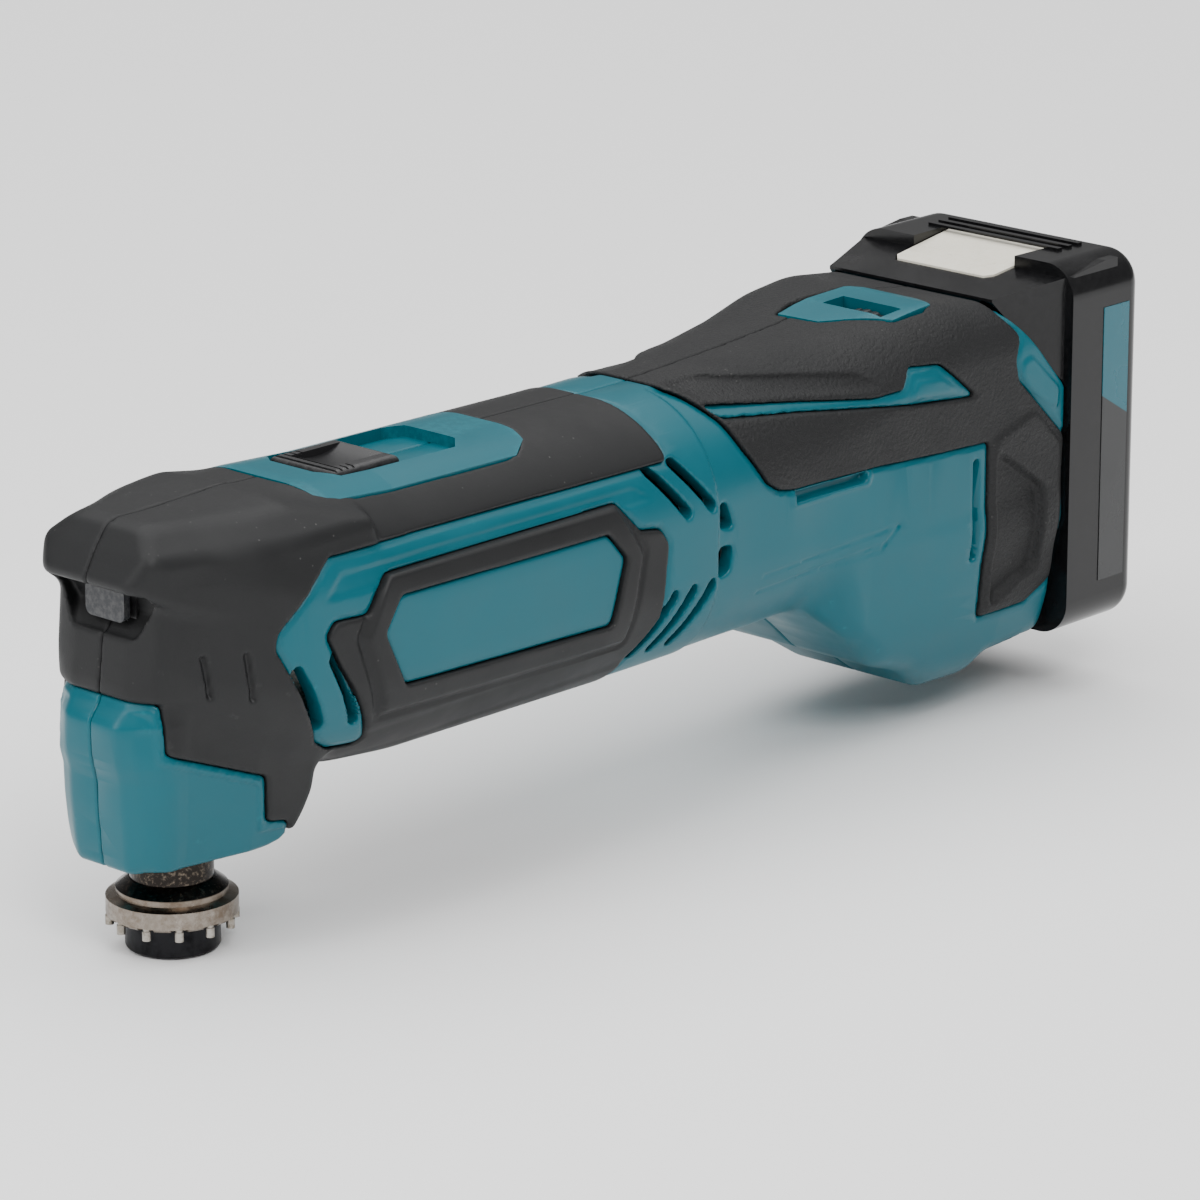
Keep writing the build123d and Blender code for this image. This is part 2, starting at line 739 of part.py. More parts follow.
def motor_shaft():
    return rod_x(shaft_r, drive_bearing_x - 2, motor_end_x() + end_bell_length - 2.4)


def commutator():
    x0 = motor_end_x() - 4.5
    drum = tube_x(commutator_r, shaft_r, x0, x0 + 9)
    for i in range(9):
        cut = Pos(0, 0, motor_axis_z) * (Rot(40 * i + 20, 0, 0) * box(
            (x0 - 1, x0 + 10), (-0.25, 0.25), (commutator_r - 0.6, commutator_r + 1)))
        drum = drum - cut
    return drum


def brush_x():
    return motor_end_x() - 1.5


def carbon_brushes():
    brushes = []
    for side in (-1, 1):
        reach = sorted([side * (commutator_r + 0.1), side * (commutator_r + 7.0)])
        brushes.append(box((brush_x(), brush_x() + 4), reach, (motor_axis_z - 2, motor_axis_z + 2)))
    return Compound(children=brushes)


def end_bell():
    """Moulded rear end of the motor with its brush boxes and bearing seat."""
    x0, x1 = motor_end_x(), motor_end_x() + end_bell_length
    bell = rod_x(motor_r, x0, x1) - rod_x(motor_r - 3.0, x0 - 1, x1 - 2.0)
    bell = bell + rod_x(motor_bearing_r + 1.6, x1 - motor_bearing_w - 1.4, x1)
    for side in (-1, 1):
        reach = sorted([side * (commutator_r + 0.9), side * (motor_r - 2.0)])
        bell = bell + box((x0, x0 + 5), reach, (motor_axis_z - 3.5, motor_axis_z + 3.5))
        inner = sorted([side * 3, side * (commutator_r + 7.0)])
        bell = bell - box((x0 - 5, x0 + 2.5), inner, (motor_axis_z - 2, motor_axis_z + 2))
    bell = bell - rod_x(motor_bearing_r, x1 - motor_bearing_w - 1.8, x1 - 1.4)
    return bell - rod_x(commutator_r + 0.8, x0 - 1, x1 - motor_bearing_w - 1.4)


# ---------------------------------------------------------------------------
# Controls
# ---------------------------------------------------------------------------

def slide_switch():
    """Thumb slide: ribbed pad on a flat plate, with a leg down to the link."""
    x0, x1 = switch_front_x - 2, switch_front_x + switch_length + 1.5
    w = switch_half_width - 0.1
    top = switch_top_z
    plate = box((x0, x1), (-w, w), (top - switch_plate_t, top))
    pad = box((switch_front_x + 2.6, switch_front_x + 2.6 + pad_length),
              (-w + 1.1, w - 1.1), (top, top + pad_height))
    pad = fillet(pad.edges().group_by(Axis.Z)[-1], 1.3)
    scoop = rod_y(15.0, -5.5, 5.5, switch_front_x + 11.5, top + pad_height + 13.6)
    pad = pad - scoop
    for i in range(4):
        x = switch_front_x + 3.2 + 1.5 * i
        pad = pad - box((x, x + 0.5), (-far, far), (top + pad_height - 0.35, top + pad_height + 1))
    leg = box((switch_front_x + 8.5, switch_front_x + 8.5 + leg_length - 1),
              (-link_half_width, link_half_width), (link_z + link_t, top - switch_plate_t))
    return plate + pad + leg


def switch_link():
    """Flat bar that carries the slide's movement back to the power switch."""
    x0, x1 = switch_front_x + 8.5, power_switch_x() + 12
    bar = box((x0, x1), (-link_half_width, link_half_width), (link_z, link_z + link_t))
    tab = box((x1 - 3, x1), (-link_half_width + 1, link_half_width - 1),
              (motor_axis_z + 14.0, link_z))
    return bar + tab


def power_switch():
    x0 = power_switch_x()
    body = box((x0, x0 + 22), (-9, 9), (motor_axis_z, motor_axis_z + 12))
    guide = box((x0 + 5, x0 + 22), (-5.5, 5.5), (motor_axis_z + 12, motor_axis_z + 15))
    groove = box((x0 + 7, x0 + 20.5), (-link_half_width, link_half_width),
                 (motor_axis_z + 13, motor_axis_z + 16))
    return body + guide - groove


def speed_dial():
    """Thumb wheel with a knurled rim."""
    x, z = dial_centre_x(), dial_centre_z()
    wheel = rod_x(dial_r, x - dial_w / 2, x + dial_w / 2, dial_y, z)
    wheel = chamfer(wheel.edges().filter_by(GeomType.CIRCLE), 0.4)
    for i in range(30):
        angle = 2 * pi * i / 30
        wheel = wheel - rod_x(0.45, x - dial_w, x + dial_w, dial_y + dial_r * cos(angle),
                              z + dial_r * sin(angle))
    return wheel - rod_x(3 + running, x - dial_w, x + dial_w, dial_y, z)


def speed_potentiometer():
    """Rotary resistor: its spindle carries the dial, its case stands on the board."""
    x, z = dial_centre_x(), dial_centre_z()
    spindle = rod_x(3.0, x - dial_w / 2, x + dial_w / 2 + 1, dial_y, z)
    case = box((x + dial_w / 2 + 1, x + dial_w / 2 + 6), (dial_y - 6, dial_y + 6),
               (board_top_z(), z + 5.5))
    return spindle + case


def board_top_z():
    return motor_axis_z + 3.6


def controller_board():
    """Speed controller: board, heat sink, capacitor and relay on four pads."""
    x0, x1 = dial_plate_x + 3, channel_x - wall - 1
    half = barrel_half_width - deep - 4
    top = board_top_z()
    board = box((x0, x1), (-half, half), (top - 1.6, top))
    for x in (x0 + 3, x1 - 3):
        for y in (-half + 3, half - 3):
            board = board + rod_z(1.6, motor_axis_z, top - 1.6, x, y)
    sink = box((x0 + 2, x0 + 5), (2, 16), (top, top + 11))
    for i in range(4):
        sink = sink + box((x0 + 5, x0 + 8), (3 + 3.6 * i, 4 + 3.6 * i), (top, top + 10))
    can = rod_z(4.5, top, top + 12, x0 + 25, 11)
    return board + sink + can


def work_light():
    """Lamp board with its emitter, and the clear lens in front of it."""
    z = barrel_top - 13.5
    board = box((-12.2, -11.3), (-5.5, 5.5), (z - 3.6, z + 3.6))
    emitter = box((-13.0, -12.2), (-1.8, 1.8), (z - 1.8, z + 1.8))
    lens = box((-14.6, -13.2), (-5.0, 5.0), (z - 3.2, z + 3.2))
    lens = fillet(lens.edges().filter_by(Axis.X), 1.5)
    return board + emitter, lens


def terminal_block():
    half = terminal_half_width - inner_gap
    return box((channel_x - 9, channel_x - 0.3), (-half, half),
               (terminal_z + inner_gap, terminal_z + terminal_height - inner_gap))


def blade_rows():
    return [i * blade_pitch for i in (-1, 0, 1)]


def terminal_blades():
    blades = [box((channel_x - 0.3, channel_x + 6), (y - blade_t / 2, y + blade_t / 2),
                  (terminal_z + 3, terminal_z + terminal_height - 3)) for y in blade_rows()]
    return Compound(children=blades)


def internal_leads():
    """Pair of insulated leads from the battery terminals forward to the motor."""
    x0, x1 = motor_end_x() + end_bell_length, channel_x - 9
    z0, z1 = motor_axis_z - 11, terminal_z + 12
    leads = []
    for side in (-1, 1):
        y = side * 5.5
        points = [(x0, y, z0), (x0 + 16, y, z0), (dial_plate_x - 12, y, motor_axis_z - 7),
                  (dial_plate_x + 12, y, motor_axis_z - 10), (x1 - 9, y, z1), (x1, y, z1)]
        path = FilletPolyline(*points, radius=[12, 60, 26, 12])
        start = Plane(origin=points[0], z_dir=(1, 0, 0))
        leads.append(sweep(start * Circle(1.1), path=path))
    return Compound(children=leads)


def housing_screws():
    screws = []
    for x, z in screw_places():
        shank = rod_y(screw_r, -screw_reach, screw_seat - screw_head_h, x, z)
        head = rod_y(screw_head_r, screw_seat - screw_head_h, screw_seat, x, z)
        recess = rod_y(1.3, screw_seat - 1.2, screw_seat + 1, x, z)
        screws.append(shank + head - recess)
    return Compound(children=screws)


# ---------------------------------------------------------------------------
# Battery
# ---------------------------------------------------------------------------

def battery_seam_x():
    return battery_front_x + 8.4


def battery_block(grow=0.0):
    """Main body of the pack, grown by a distance."""
    g = grow
    x0, x1 = battery_front_x - g, battery_back_x + g
    corner = battery_corner if g == 0 else battery_room_corner
    profile = RectangleRounded(2 * (battery_half_width + g), battery_height + 2 * g, corner)
    middle = battery_bottom_z + battery_height / 2
    plane = Plane(origin=(x0, 0, middle), x_dir=(0, 1, 0), z_dir=(1, 0, 0))
    body = extrude(plane * profile, amount=x1 - x0)
    loops = body.edges().group_by(Axis.X)
    rear = fillet(loops[-1], max(4.0 + g, 1.0))
    return rear


def nose_top_z(x):
    """Height of the sloping top at a place along the tool."""
    x0, x1 = lip_x + slide_gap + 0.1, battery_front_x + 12
    z0, z1 = lip_z + 1.0, battery_top_z - 0.8
    return z0 + (x - x0) * (z1 - z0) / (x1 - x0)


def nose_floor_z(x):
    """Height of the sloping underside, clear of the housing's rear slope."""
    x0, x1 = lip_x + slide_gap + 0.1, battery_front_x
    z0, z1 = lip_z + slide_gap + 0.1, slope_end_z + slide_gap + 0.1
    return z0 + (x - x0) * (z1 - z0) / (x1 - x0)


def battery_nose(inset=0.0):
    """Sloping front top of the pack that overhangs the housing, or the room inside it."""
    t = inset
    x0 = lip_x + slide_gap + 0.1 + 3 * t
    x1, x2, x3 = battery_front_x + t, battery_front_x + 12, battery_front_x + 16
    points = [
        (x0, nose_floor_z(x0) + 1.5 * t), (x0, nose_top_z(x0) - t), (x2, nose_top_z(x2) - t),
        (x3, nose_top_z(x2) - t), (x3, slope_end_z - 8), (x1, slope_end_z - 8),
        (x1, nose_floor_z(battery_front_x) + t),
    ]
    plan = [(lip_x - 4, -20 + t), (lip_x + 3, -22 + t), (battery_front_x + 2, -27 + t),
            (x3, -27 + t), (x3, 27 - t), (battery_front_x + 2, 27 - t), (lip_x + 3, 22 - t),
            (lip_x - 4, 20 - t)]
    return side_prism(points) & plan_prism(plan, 0, 150)


def rail_block():
    x0 = channel_x + slide_gap
    w = rail_block_half_width
    block = box((x0, battery_front_x + 1), (-w, w), (battery_bottom_z + 1.5, slope_end_z - 1))
    for side in (-1, 1):
        reach = sorted([side * (w - rail_depth), side * (w + 1)])
        middle = channel_x + 4.6
        block = block - box((middle - rail_width / 2 - slide_gap, middle + rail_width / 2 + slide_gap),
                            reach, (0, 150))
    return block


def button_window(grow=0.0):
    g = grow
    x0, x1 = lip_x + 9.5, battery_front_x + 11.5
    return [(x0 - g, -11.5 - g), (x0 + 2, -13 - g), (x1 + g, -13.5 - g),
            (x1 + g, 13.5 + g), (x0 + 2, 13 + g), (x0 - g, 11.5 + g)]


def nose_deck_z():
    """Floor under the release button."""
    return nose_top_z(lip_x + 9.5) - 6.4


def battery_cases():
    t = battery_wall
    whole = battery_block() + battery_nose() + rail_block()
    hollow = battery_block(-t)
    hollow = hollow + battery_nose(t)
    hollow = hollow + box((channel_x + slide_gap + t, battery_front_x + 6), (-16.5, 16.5),
                          (battery_bottom_z + 5, slope_end_z - 4))
    seam = battery_seam_x()
    for y in blade_rows():
        slot = blade_t / 2 + blade_gap
        whole = whole - box((channel_x, channel_x + 7.2), (y - slot, y + slot),
                            (0, terminal_z + terminal_height - 1))
    deck_z = nose_deck_z()
    deck = battery_nose(t) & box((0, battery_front_x + t), (-far, far),
                                 (deck_z - battery_wall, deck_z))
    front = ((whole - hollow) & box((0, seam), (-far, far), (-far, 150))) + deck
    front = front - plan_prism(button_window(), deck_z, 150)
    rear = (whole - hollow) & box((seam, 400), (-far, far), (-far, 150))
    rear = rear - plan_prism(button_window(), deck_z, 150)
    seat, tip = battery_screw_reach()
    for y, z in battery_screw_places():
        rear = rear + rod_x(2.6, seam, battery_back_x - 1, y, z)
        front = front + rod_x(2.6, seat - 2, seam, y, z)
        front = front - rod_x(2.05, lip_x - 4, seat, y, z) - rod_x(1.2, seat - 1, seam + 1, y, z)
        rear = rear - rod_x(1.2, seam - 1, tip + 1, y, z)
    return front, rear


def battery_screw_places():
    """Two screws above the cells, driven from the slope under the nose."""
    return [(y, nose_deck_z() + 2.5) for y in (-19, 19)]


def battery_screw_reach():
    return lip_x + 11, battery_seam_x() + 5


def battery_screws():
    seat, tip = battery_screw_reach()
    screws = [rod_x(1.95, seat - 2, seat, y, z) + rod_x(1.2, seat, tip, y, z)
              for y, z in battery_screw_places()]
    return Compound(children=screws)


def battery_button():
    """Release button that follows the slope of the pack's top."""
    top = nose_top_z(lip_x + 9.5)
    slab = plan_prism(button_window(-slide_gap), nose_deck_z() + button_travel + 0.3, 150)
    x0, x1 = lip_x, battery_front_x + 20
    cut = [(x0, nose_top_z(x0) + 0.3), (x1, nose_top_z(x1) + 0.3), (x1, 200), (x0, 200)]
    button = slab - side_prism(cut)
    return button - rod_z(3.4, 0, top - 1.6, button_spring_x())


def button_spring_x():
    return battery_front_x - 2.0


def button_spring():
    top = nose_top_z(lip_x + 9.5)
    return tube_z(2.9, 2.1, nose_deck_z(), top - 1.6, button_spring_x())


def battery_cells():
    x = (battery_front_x + battery_back_x) / 2
    z0 = battery_bottom_z + battery_wall + 0.3
    cells = []
    for i in (-1, 0, 1):
        cell = rod_z(cell_r, z0, z0 + cell_length, x, 2 * (cell_r + 0.02) * i)
        cells.append(chamfer(cell.edges().filter_by(GeomType.CIRCLE), 1.3))
    return Compound(children=cells)


def battery_board():
    x = channel_x + slide_gap + battery_wall
    return box((x + 6.0, x + 7.4), (-15.5, 15.5), (battery_bottom_z + 6, slope_end_z - 6))


def battery_contacts():
    x = channel_x + slide_gap + battery_wall
    clips = []
    for y in blade_rows():
        clip = box((x + 0.6, x + 6.0), (y - 2.0, y + 2.0), (terminal_z + 4, terminal_z + 17))
        slot = blade_t / 2 + blade_gap
        clips.append(clip - box((0, x + 5.2), (y - slot, y + slot), (0, 150)))
    return Compound(children=clips)


def battery_label():
    """Wrap of label film on both flanks of the rear shell."""
    x0, x1 = battery_seam_x() + 1.6, battery_back_x - 4.6
    z0, z1 = battery_bottom_z + 10, battery_top_z - 10
    plates = []
    for side in (-1, 1):
        reach = sorted([side * battery_half_width, side * (battery_half_width + 0.15)])
        plates.append(box((x0, x1), reach, (z0, z1)))
    return Compound(children=plates)


def battery_top_plate():
    """Raised ribs on top of the rear shell, a plain grip pattern."""
    ribs = [box((battery_back_x - 13.5 + 3.2 * i, battery_back_x - 12.2 + 3.2 * i), (-17, 17),
                (battery_top_z, battery_top_z + 0.5)) for i in range(3)]
    return Compound(children=ribs)


# ---------------------------------------------------------------------------
# Everything, written one file per piece
# ---------------------------------------------------------------------------

def main():
    os.makedirs("parts", exist_ok=True)
    outer = form(0)
    core = form(-skin)
    plate_form = form(proud)
    over = outer - core
    trim = plate_form - core

    bezel = trim & plan_prism(bezel_outline(), motor_axis_z, 150)
    dial_plate = trim & plan_prism(dial_plate_outline(), motor_axis_z, 150)
    badge = trim & side_prism(badge_outline())
    front_cover = over & side_prism(front_grip_outline())
    rear_cover = over & side_prism(rear_grip_outline())
    stripe = side_prism(stripe_outline())
    front_cover = front_cover - bezel - badge - recess_cutter()
    rear_cover = rear_cover - dial_plate - (stripe - box((0, 400), (-12, 12), (0, 150)))
    rear_cover = rear_cover - rail_pocket()
    covers = [front_cover, rear_cover, bezel, dial_plate, badge]
    export("left_housing", shell_half(outer, covers, left))
    export("right_housing", shell_half(outer, covers, right))
    front_cover = front_cover - screw_holes()
    rear_cover = rear_cover - screw_holes()
    export("left_front_grip", left(front_cover))
    export("right_front_grip", right(front_cover))
    export("left_rear_grip", left(rear_cover))
    export("right_rear_grip", right(rear_cover))
    export("left_badge", left(badge))
    export("right_badge", right(badge))
    export("switch_bezel", bezel - plan_prism(switch_window(), 0, 150))
    x, z = dial_centre_x(), dial_centre_z()
    slot = box((x - dial_w / 2 - 0.6, x + dial_w / 2 + 0.6), (dial_y - 7.5, dial_y + 7.5), (z, 150))
    export("dial_plate", dial_plate - slot - hollow_for_dial())
    export("housing_screws", housing_screws())

    export("dust_seal", dust_seal())
    export("gear_case", gear_case())
    export("drive_flange", drive_flange())
    export("flange_pins", flange_pins())
    export("output_spindle", output_spindle())
    export("clamp_bolt", clamp_bolt())
    export("lower_bearing", bearing_z(spindle_r, lower_bearing_r, lower_bearing_z))
    export("upper_bearing", bearing_z(spindle_top_r, upper_bearing_r, upper_bearing_z))
    export("fork_lever", fork_lever())

    export("eccentric_bush", eccentric_bush())
    export("drive_bearing", drive_bearing())
    export("cooling_fan", cooling_fan())
    export("motor_can", motor_can())
    export("field_magnets", field_magnets())
    core_stack, coils = armature()
    export("armature_core", core_stack)
    export("armature_coils", coils)
    export("motor_shaft", motor_shaft())
    export("commutator", commutator())
    export("carbon_brushes", carbon_brushes())
    export("motor_end_bell", end_bell())
    export("motor_front_bearing", bearing_x(shaft_r, motor_bearing_r, motor_x + 0.6, motor_bearing_w))
    export("motor_rear_bearing", bearing_x(shaft_r, motor_bearing_r,
           motor_end_x() + end_bell_length - 1.4 - motor_bearing_w, motor_bearing_w))

    export("slide_switch", slide_switch())
    export("switch_link", switch_link())
    export("power_switch", power_switch())
    export("speed_dial", speed_dial())
    export("speed_potentiometer", speed_potentiometer())
    export("controller_board", controller_board())
    lamp, lens = work_light()
    export("lamp_board", lamp)
    export("lamp_lens", lens)
    export("terminal_block", terminal_block())
    export("terminal_blades", terminal_blades())
    export("internal_leads", internal_leads())

    front, rear = battery_cases()
    export("battery_front_case", front)
    export("battery_rear_case", rear)
    export("battery_cells", battery_cells())
    export("battery_board", battery_board())
    export("battery_contacts", battery_contacts())
    export("battery_button", battery_button())
    export("battery_button_spring", button_spring())
    export("battery_screws", battery_screws())
    export("battery_labels", battery_label())
    export("battery_top_ribs", battery_top_plate())


def rail_pocket():
    """Room in the soft cover for the channel that the pack slides in."""
    return box((channel_x, bay_x + 5), (-rail_block_half_width - slide_gap,
               rail_block_half_width + slide_gap), (battery_bottom_z, 150))


def screw_holes():
    """Holes for the screws and their heads through the soft covers."""
    holes = []
    for x, z in screw_places():
        holes += [rod_y(screw_head_r + 0.2, screw_seat - screw_head_h, far, x, z)]
        holes += [rod_y(screw_r + 0.1, -screw_reach, far, x, z)]
    cutter = holes[0]
    for hole in holes[1:]:
        cutter = cutter + hole
    return cutter


main()
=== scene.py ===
import math

import bpy
import numpy as np
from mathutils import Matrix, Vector


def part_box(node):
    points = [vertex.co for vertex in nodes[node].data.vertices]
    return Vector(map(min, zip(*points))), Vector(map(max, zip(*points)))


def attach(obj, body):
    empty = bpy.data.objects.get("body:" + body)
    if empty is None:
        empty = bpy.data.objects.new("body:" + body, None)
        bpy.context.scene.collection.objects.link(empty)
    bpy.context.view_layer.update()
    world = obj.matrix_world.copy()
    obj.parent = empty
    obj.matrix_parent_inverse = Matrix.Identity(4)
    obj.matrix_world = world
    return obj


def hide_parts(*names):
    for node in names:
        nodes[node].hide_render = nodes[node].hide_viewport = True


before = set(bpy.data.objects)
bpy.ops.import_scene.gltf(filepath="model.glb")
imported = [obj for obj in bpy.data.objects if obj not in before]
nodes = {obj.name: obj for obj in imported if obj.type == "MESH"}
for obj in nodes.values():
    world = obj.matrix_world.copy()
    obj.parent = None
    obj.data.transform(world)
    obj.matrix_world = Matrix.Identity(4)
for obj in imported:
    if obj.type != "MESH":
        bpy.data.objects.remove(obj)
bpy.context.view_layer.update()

MM = 0.001
CELL = 0.45       # spacing of the shell's grid, in millimetres
MOST_TRIANGLES = 190000


# ---------------------------------------------------------------------------
# Driving dimensions, read from the frame, in millimetres
# ---------------------------------------------------------------------------

def node_box(name):
    """Lowest and highest corner of a CAD node, in millimetres."""
    low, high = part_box(name)
    return Vector(low) / MM, Vector(high) / MM


shaft_low, shaft_high = node_box("motor_shaft")
axis_z = (shaft_low.z + shaft_high.z) / 2
case_low = node_box("battery_front_case")[0]
rear_low, rear_high = node_box("battery_rear_case")
dial_low, dial_high = node_box("speed_dial")
slide_low, slide_high = node_box("slide_switch")
ring_low = node_box("drive_flange")[0]
shell_low = node_box("left_housing")[0]

half_width = 26.4                        # of the barrel
top_z = axis_z + 26.6
bottom_z = axis_z - 26.6
mouth_z = 12.4                           # lower edge of the head
nose_x = -18.95                          # front of the nose, under its soft cover
collar_x = 104.0                         # front of the ventilated collar
plate_x = collar_x + 64.0                # front of the speed dial's plate
lip_x = plate_x + 37.0                   # the battery's top front edge
bay_x = lip_x + 17.0
hump_z = top_z + 5.6
lip_z = top_z + 3.4
slope_z = lip_z - 18.6
foot_z = shell_low.z
skin = 1.8                               # soft cover
deep = 4.0                               # cover and hard wall together
proud = 0.35                             # how far the soft cover stands out
vent_r = 1.15                            # half the width of a cooling slot
neck_r = 9.7                             # opening under the head
seam_r = 0.3                             # rounding along the seam of the two halves
top_strip = 12.0                         # half width that side details keep clear of on top


# ---------------------------------------------------------------------------
# Fields: signed distances on a grid, negative inside
# ---------------------------------------------------------------------------

class Grid:
    """Even grid over a box, its three axes ready to be combined."""

    def __init__(self, low, high, cell):
        counts = [int(round((b - a) / cell)) + 1 for a, b in zip(low, high)]
        axes = [a + cell * np.arange(n) for a, n in zip(low, counts)]
        self.axes = [axis.astype(np.float32) for axis in axes]
        self.low, self.cell, self.counts = np.array(low, float), cell, counts
        self.x = self.axes[0][:, None, None]
        self.y = self.axes[1][None, :, None]
        self.z = self.axes[2][None, None, :]

    def side(self, points, soft=0.0):
        """Outline in the side view, run across the tool."""
        return outline(points, self.axes[0], self.axes[2], soft)[:, None, :]

    def plan(self, points, soft=0.0):
        """Outline seen from above, run upwards."""
        return outline(points, self.axes[0], self.axes[1], soft)[:, :, None]


def soften(values, cells):
    """Blur a two-dimensional field, to round its corners."""
    n = int(round(cells))
    if n < 1:
        return values
    kernel = np.ones(2 * n + 1) / (2 * n + 1)
    for axis in (0, 1, 0, 1):
        pad = [(n, n) if i == axis else (0, 0) for i in range(2)]
        wide = np.pad(values, pad, mode="edge")
        values = np.apply_along_axis(np.convolve, axis, wide, kernel, mode="valid")
    return values


def outline(points, u, v, soft=0.0):
    """Signed distance to a closed outline on two axes."""
    across, along = np.meshgrid(u.astype(float), v.astype(float), indexing="ij")
    nearest = np.full(across.shape, 1e9)
    inside = np.zeros(across.shape, bool)
    for (a, b), (c, d) in zip(points, points[1:] + points[:1]):
        run, rise = c - a, d - b
        share = ((across - a) * run + (along - b) * rise) / (run * run + rise * rise)
        share = np.clip(share, 0, 1)
        gap = (across - a - share * run) ** 2 + (along - b - share * rise) ** 2
        nearest = np.minimum(nearest, gap)
        if d != b:
            inside ^= ((b > along) != (d > along)) & (across < run * (along - b) / rise + a)
    distance = np.sqrt(nearest)
    distance[inside] *= -1
    return soften(distance, soft / (u[1] - u[0])).astype(np.float32)


def track(at, rows, column, soft=0.0):
    """One column of a table of sections, followed smoothly along an axis."""
    flat = at.ravel().astype(float)
    values = np.interp(flat, [row[0] for row in rows], [row[column] for row in rows])
    n = int(round(soft / (flat[1] - flat[0])))
    if n > 0:
        kernel = np.hanning(2 * n + 3)[1:-1]
        wide = np.pad(values, n, mode="edge")
        values = np.convolve(wide, kernel / kernel.sum(), mode="valid")
    return values.reshape(at.shape).astype(np.float32)


def blend_in(a, b, k):
    """Union of two fields with a fillet."""
    h = np.maximum(k - np.abs(a - b), 0) / k
    return np.minimum(a, b) - h * h * (k / 4)


def both(a, b, r=0.0):
    """Overlap of two fields with a rounded edge."""
    if r == 0:
        return np.maximum(a, b)
    inner = np.minimum(np.maximum(a, b), -r)
    return inner + np.hypot(np.maximum(a + r, 0), np.maximum(b + r, 0))


def step(value, start, end):
    """Smooth change from 0 to 1."""
    t = np.clip((value - start) / (end - start), 0, 1)
    return t * t * (3 - 2 * t)


def capsule(grid, a, b, r, view="side"):
    """Rounded slot between two points in the side view or the plan."""
    first = grid.x
    second = grid.z if view == "side" else grid.y
    run, rise = b[0] - a[0], b[1] - a[1]
    share = ((first - a[0]) * run + (second - a[1]) * rise) / (run * run + rise * rise)
    share = np.clip(share, 0, 1)
    return np.hypot(first - a[0] - share * run, second - a[1] - share * rise) - r


def rounded_box(grid, x, y, z, r):
    """Box from three (low, high) pairs with rounded edges."""
    parts = []
    for axis, (low, high) in zip((grid.x, grid.y, grid.z), (x, y, z)):
        parts.append(np.abs(axis - (low + high) / 2) - (high - low) / 2 + r)
    outside = np.sqrt(sum(np.maximum(part, 0) ** 2 for part in parts))
    inside = np.minimum(np.maximum(np.maximum(parts[0], parts[1]), parts[2]), 0)
    return outside + inside - r


# ---------------------------------------------------------------------------
# From a field to a mesh
# ---------------------------------------------------------------------------

CORNERS = [(i, j, k) for i in (0, 1) for j in (0, 1) for k in (0, 1)]
EDGES = [(a, b) for a in CORNERS for b in CORNERS
         if a < b and sum(abs(p - q) for p, q in zip(a, b)) == 1]


def surface(field, grid):
    """Vertices and four-sided faces of a field's zero surface."""
    inside = field < 0
    counts = [n - 1 for n in field.shape]
    total = np.zeros(counts, np.int8)
    for i, j, k in CORNERS:
        total += inside[i:i + counts[0], j:j + counts[1], k:k + counts[2]]
    cells = np.argwhere((total > 0) & (total < 8))
    number = np.full(counts, -1, np.int32)
    number[tuple(cells.T)] = np.arange(len(cells))
    place = np.zeros((len(cells), 3))
    hits = np.zeros(len(cells))
    for a, b in EDGES:
        start = field[tuple((cells + a).T)]
        end = field[tuple((cells + b).T)]
        cut = (start < 0) != (end < 0)
        share = start[cut] / (start[cut] - end[cut])
        place[cut] += np.array(a) + share[:, None] * (np.array(b) - np.array(a))
        hits[cut] += 1
    vertices = (cells + place / hits[:, None]) * grid.cell + grid.low
    faces = []
    for axis in range(3):
        u, v = (axis + 1) % 3, (axis + 2) % 3
        low = [slice(None)] * 3
        high = [slice(None)] * 3
        low[axis], high[axis] = slice(0, -1), slice(1, None)
        here = np.argwhere(inside[tuple(low)] != inside[tuple(high)])
        keep = (here[:, u] > 0) & (here[:, v] > 0)
        keep &= (here[:, u] < counts[u]) & (here[:, v] < counts[v])
        here = here[keep]
        flip = ~inside[tuple(here.T)]
        ring = []
        for du, dv in ((0, 0), (-1, 0), (-1, -1), (0, -1)):
            cell = here.copy()
            cell[:, u] += du
            cell[:, v] += dv
            ring.append(number[tuple(cell.T)])
        quads = np.stack(ring, axis=1)
        quads[flip] = quads[flip][:, ::-1]
        faces.append(quads)
    return vertices, np.concatenate(faces)


def mesh_from(name, vertices, faces):
    """Smooth mesh object, in metres, from arrays in millimetres."""
    mesh = bpy.data.meshes.new(name)
    mesh.vertices.add(len(vertices))
    mesh.vertices.foreach_set("co", (np.asarray(vertices) * MM).astype(np.float32).ravel())
    sides = faces.shape[1]
    mesh.loops.add(faces.size)
    mesh.loops.foreach_set("vertex_index", faces.ravel().astype(np.int32))
    mesh.polygons.add(len(faces))
    mesh.polygons.foreach_set("loop_start", np.arange(0, faces.size, sides, dtype=np.int32))
    mesh.update(calc_edges=True)
    mesh.validate()
    mesh.shade_smooth()
    piece = bpy.data.objects.new(name, mesh)
    bpy.context.scene.collection.objects.link(piece)
    return piece


def applied(piece, kind, **settings):
    """Put one modifier on a piece and make its result the mesh."""
    modifier = piece.modifiers.new(kind, kind)
    for key, value in settings.items():
        setattr(modifier, key, value)
    graph = bpy.context.evaluated_depsgraph_get()
    result = bpy.data.meshes.new_from_object(piece.evaluated_get(graph))
    piece.modifiers.clear()
    piece.data = result
    return piece


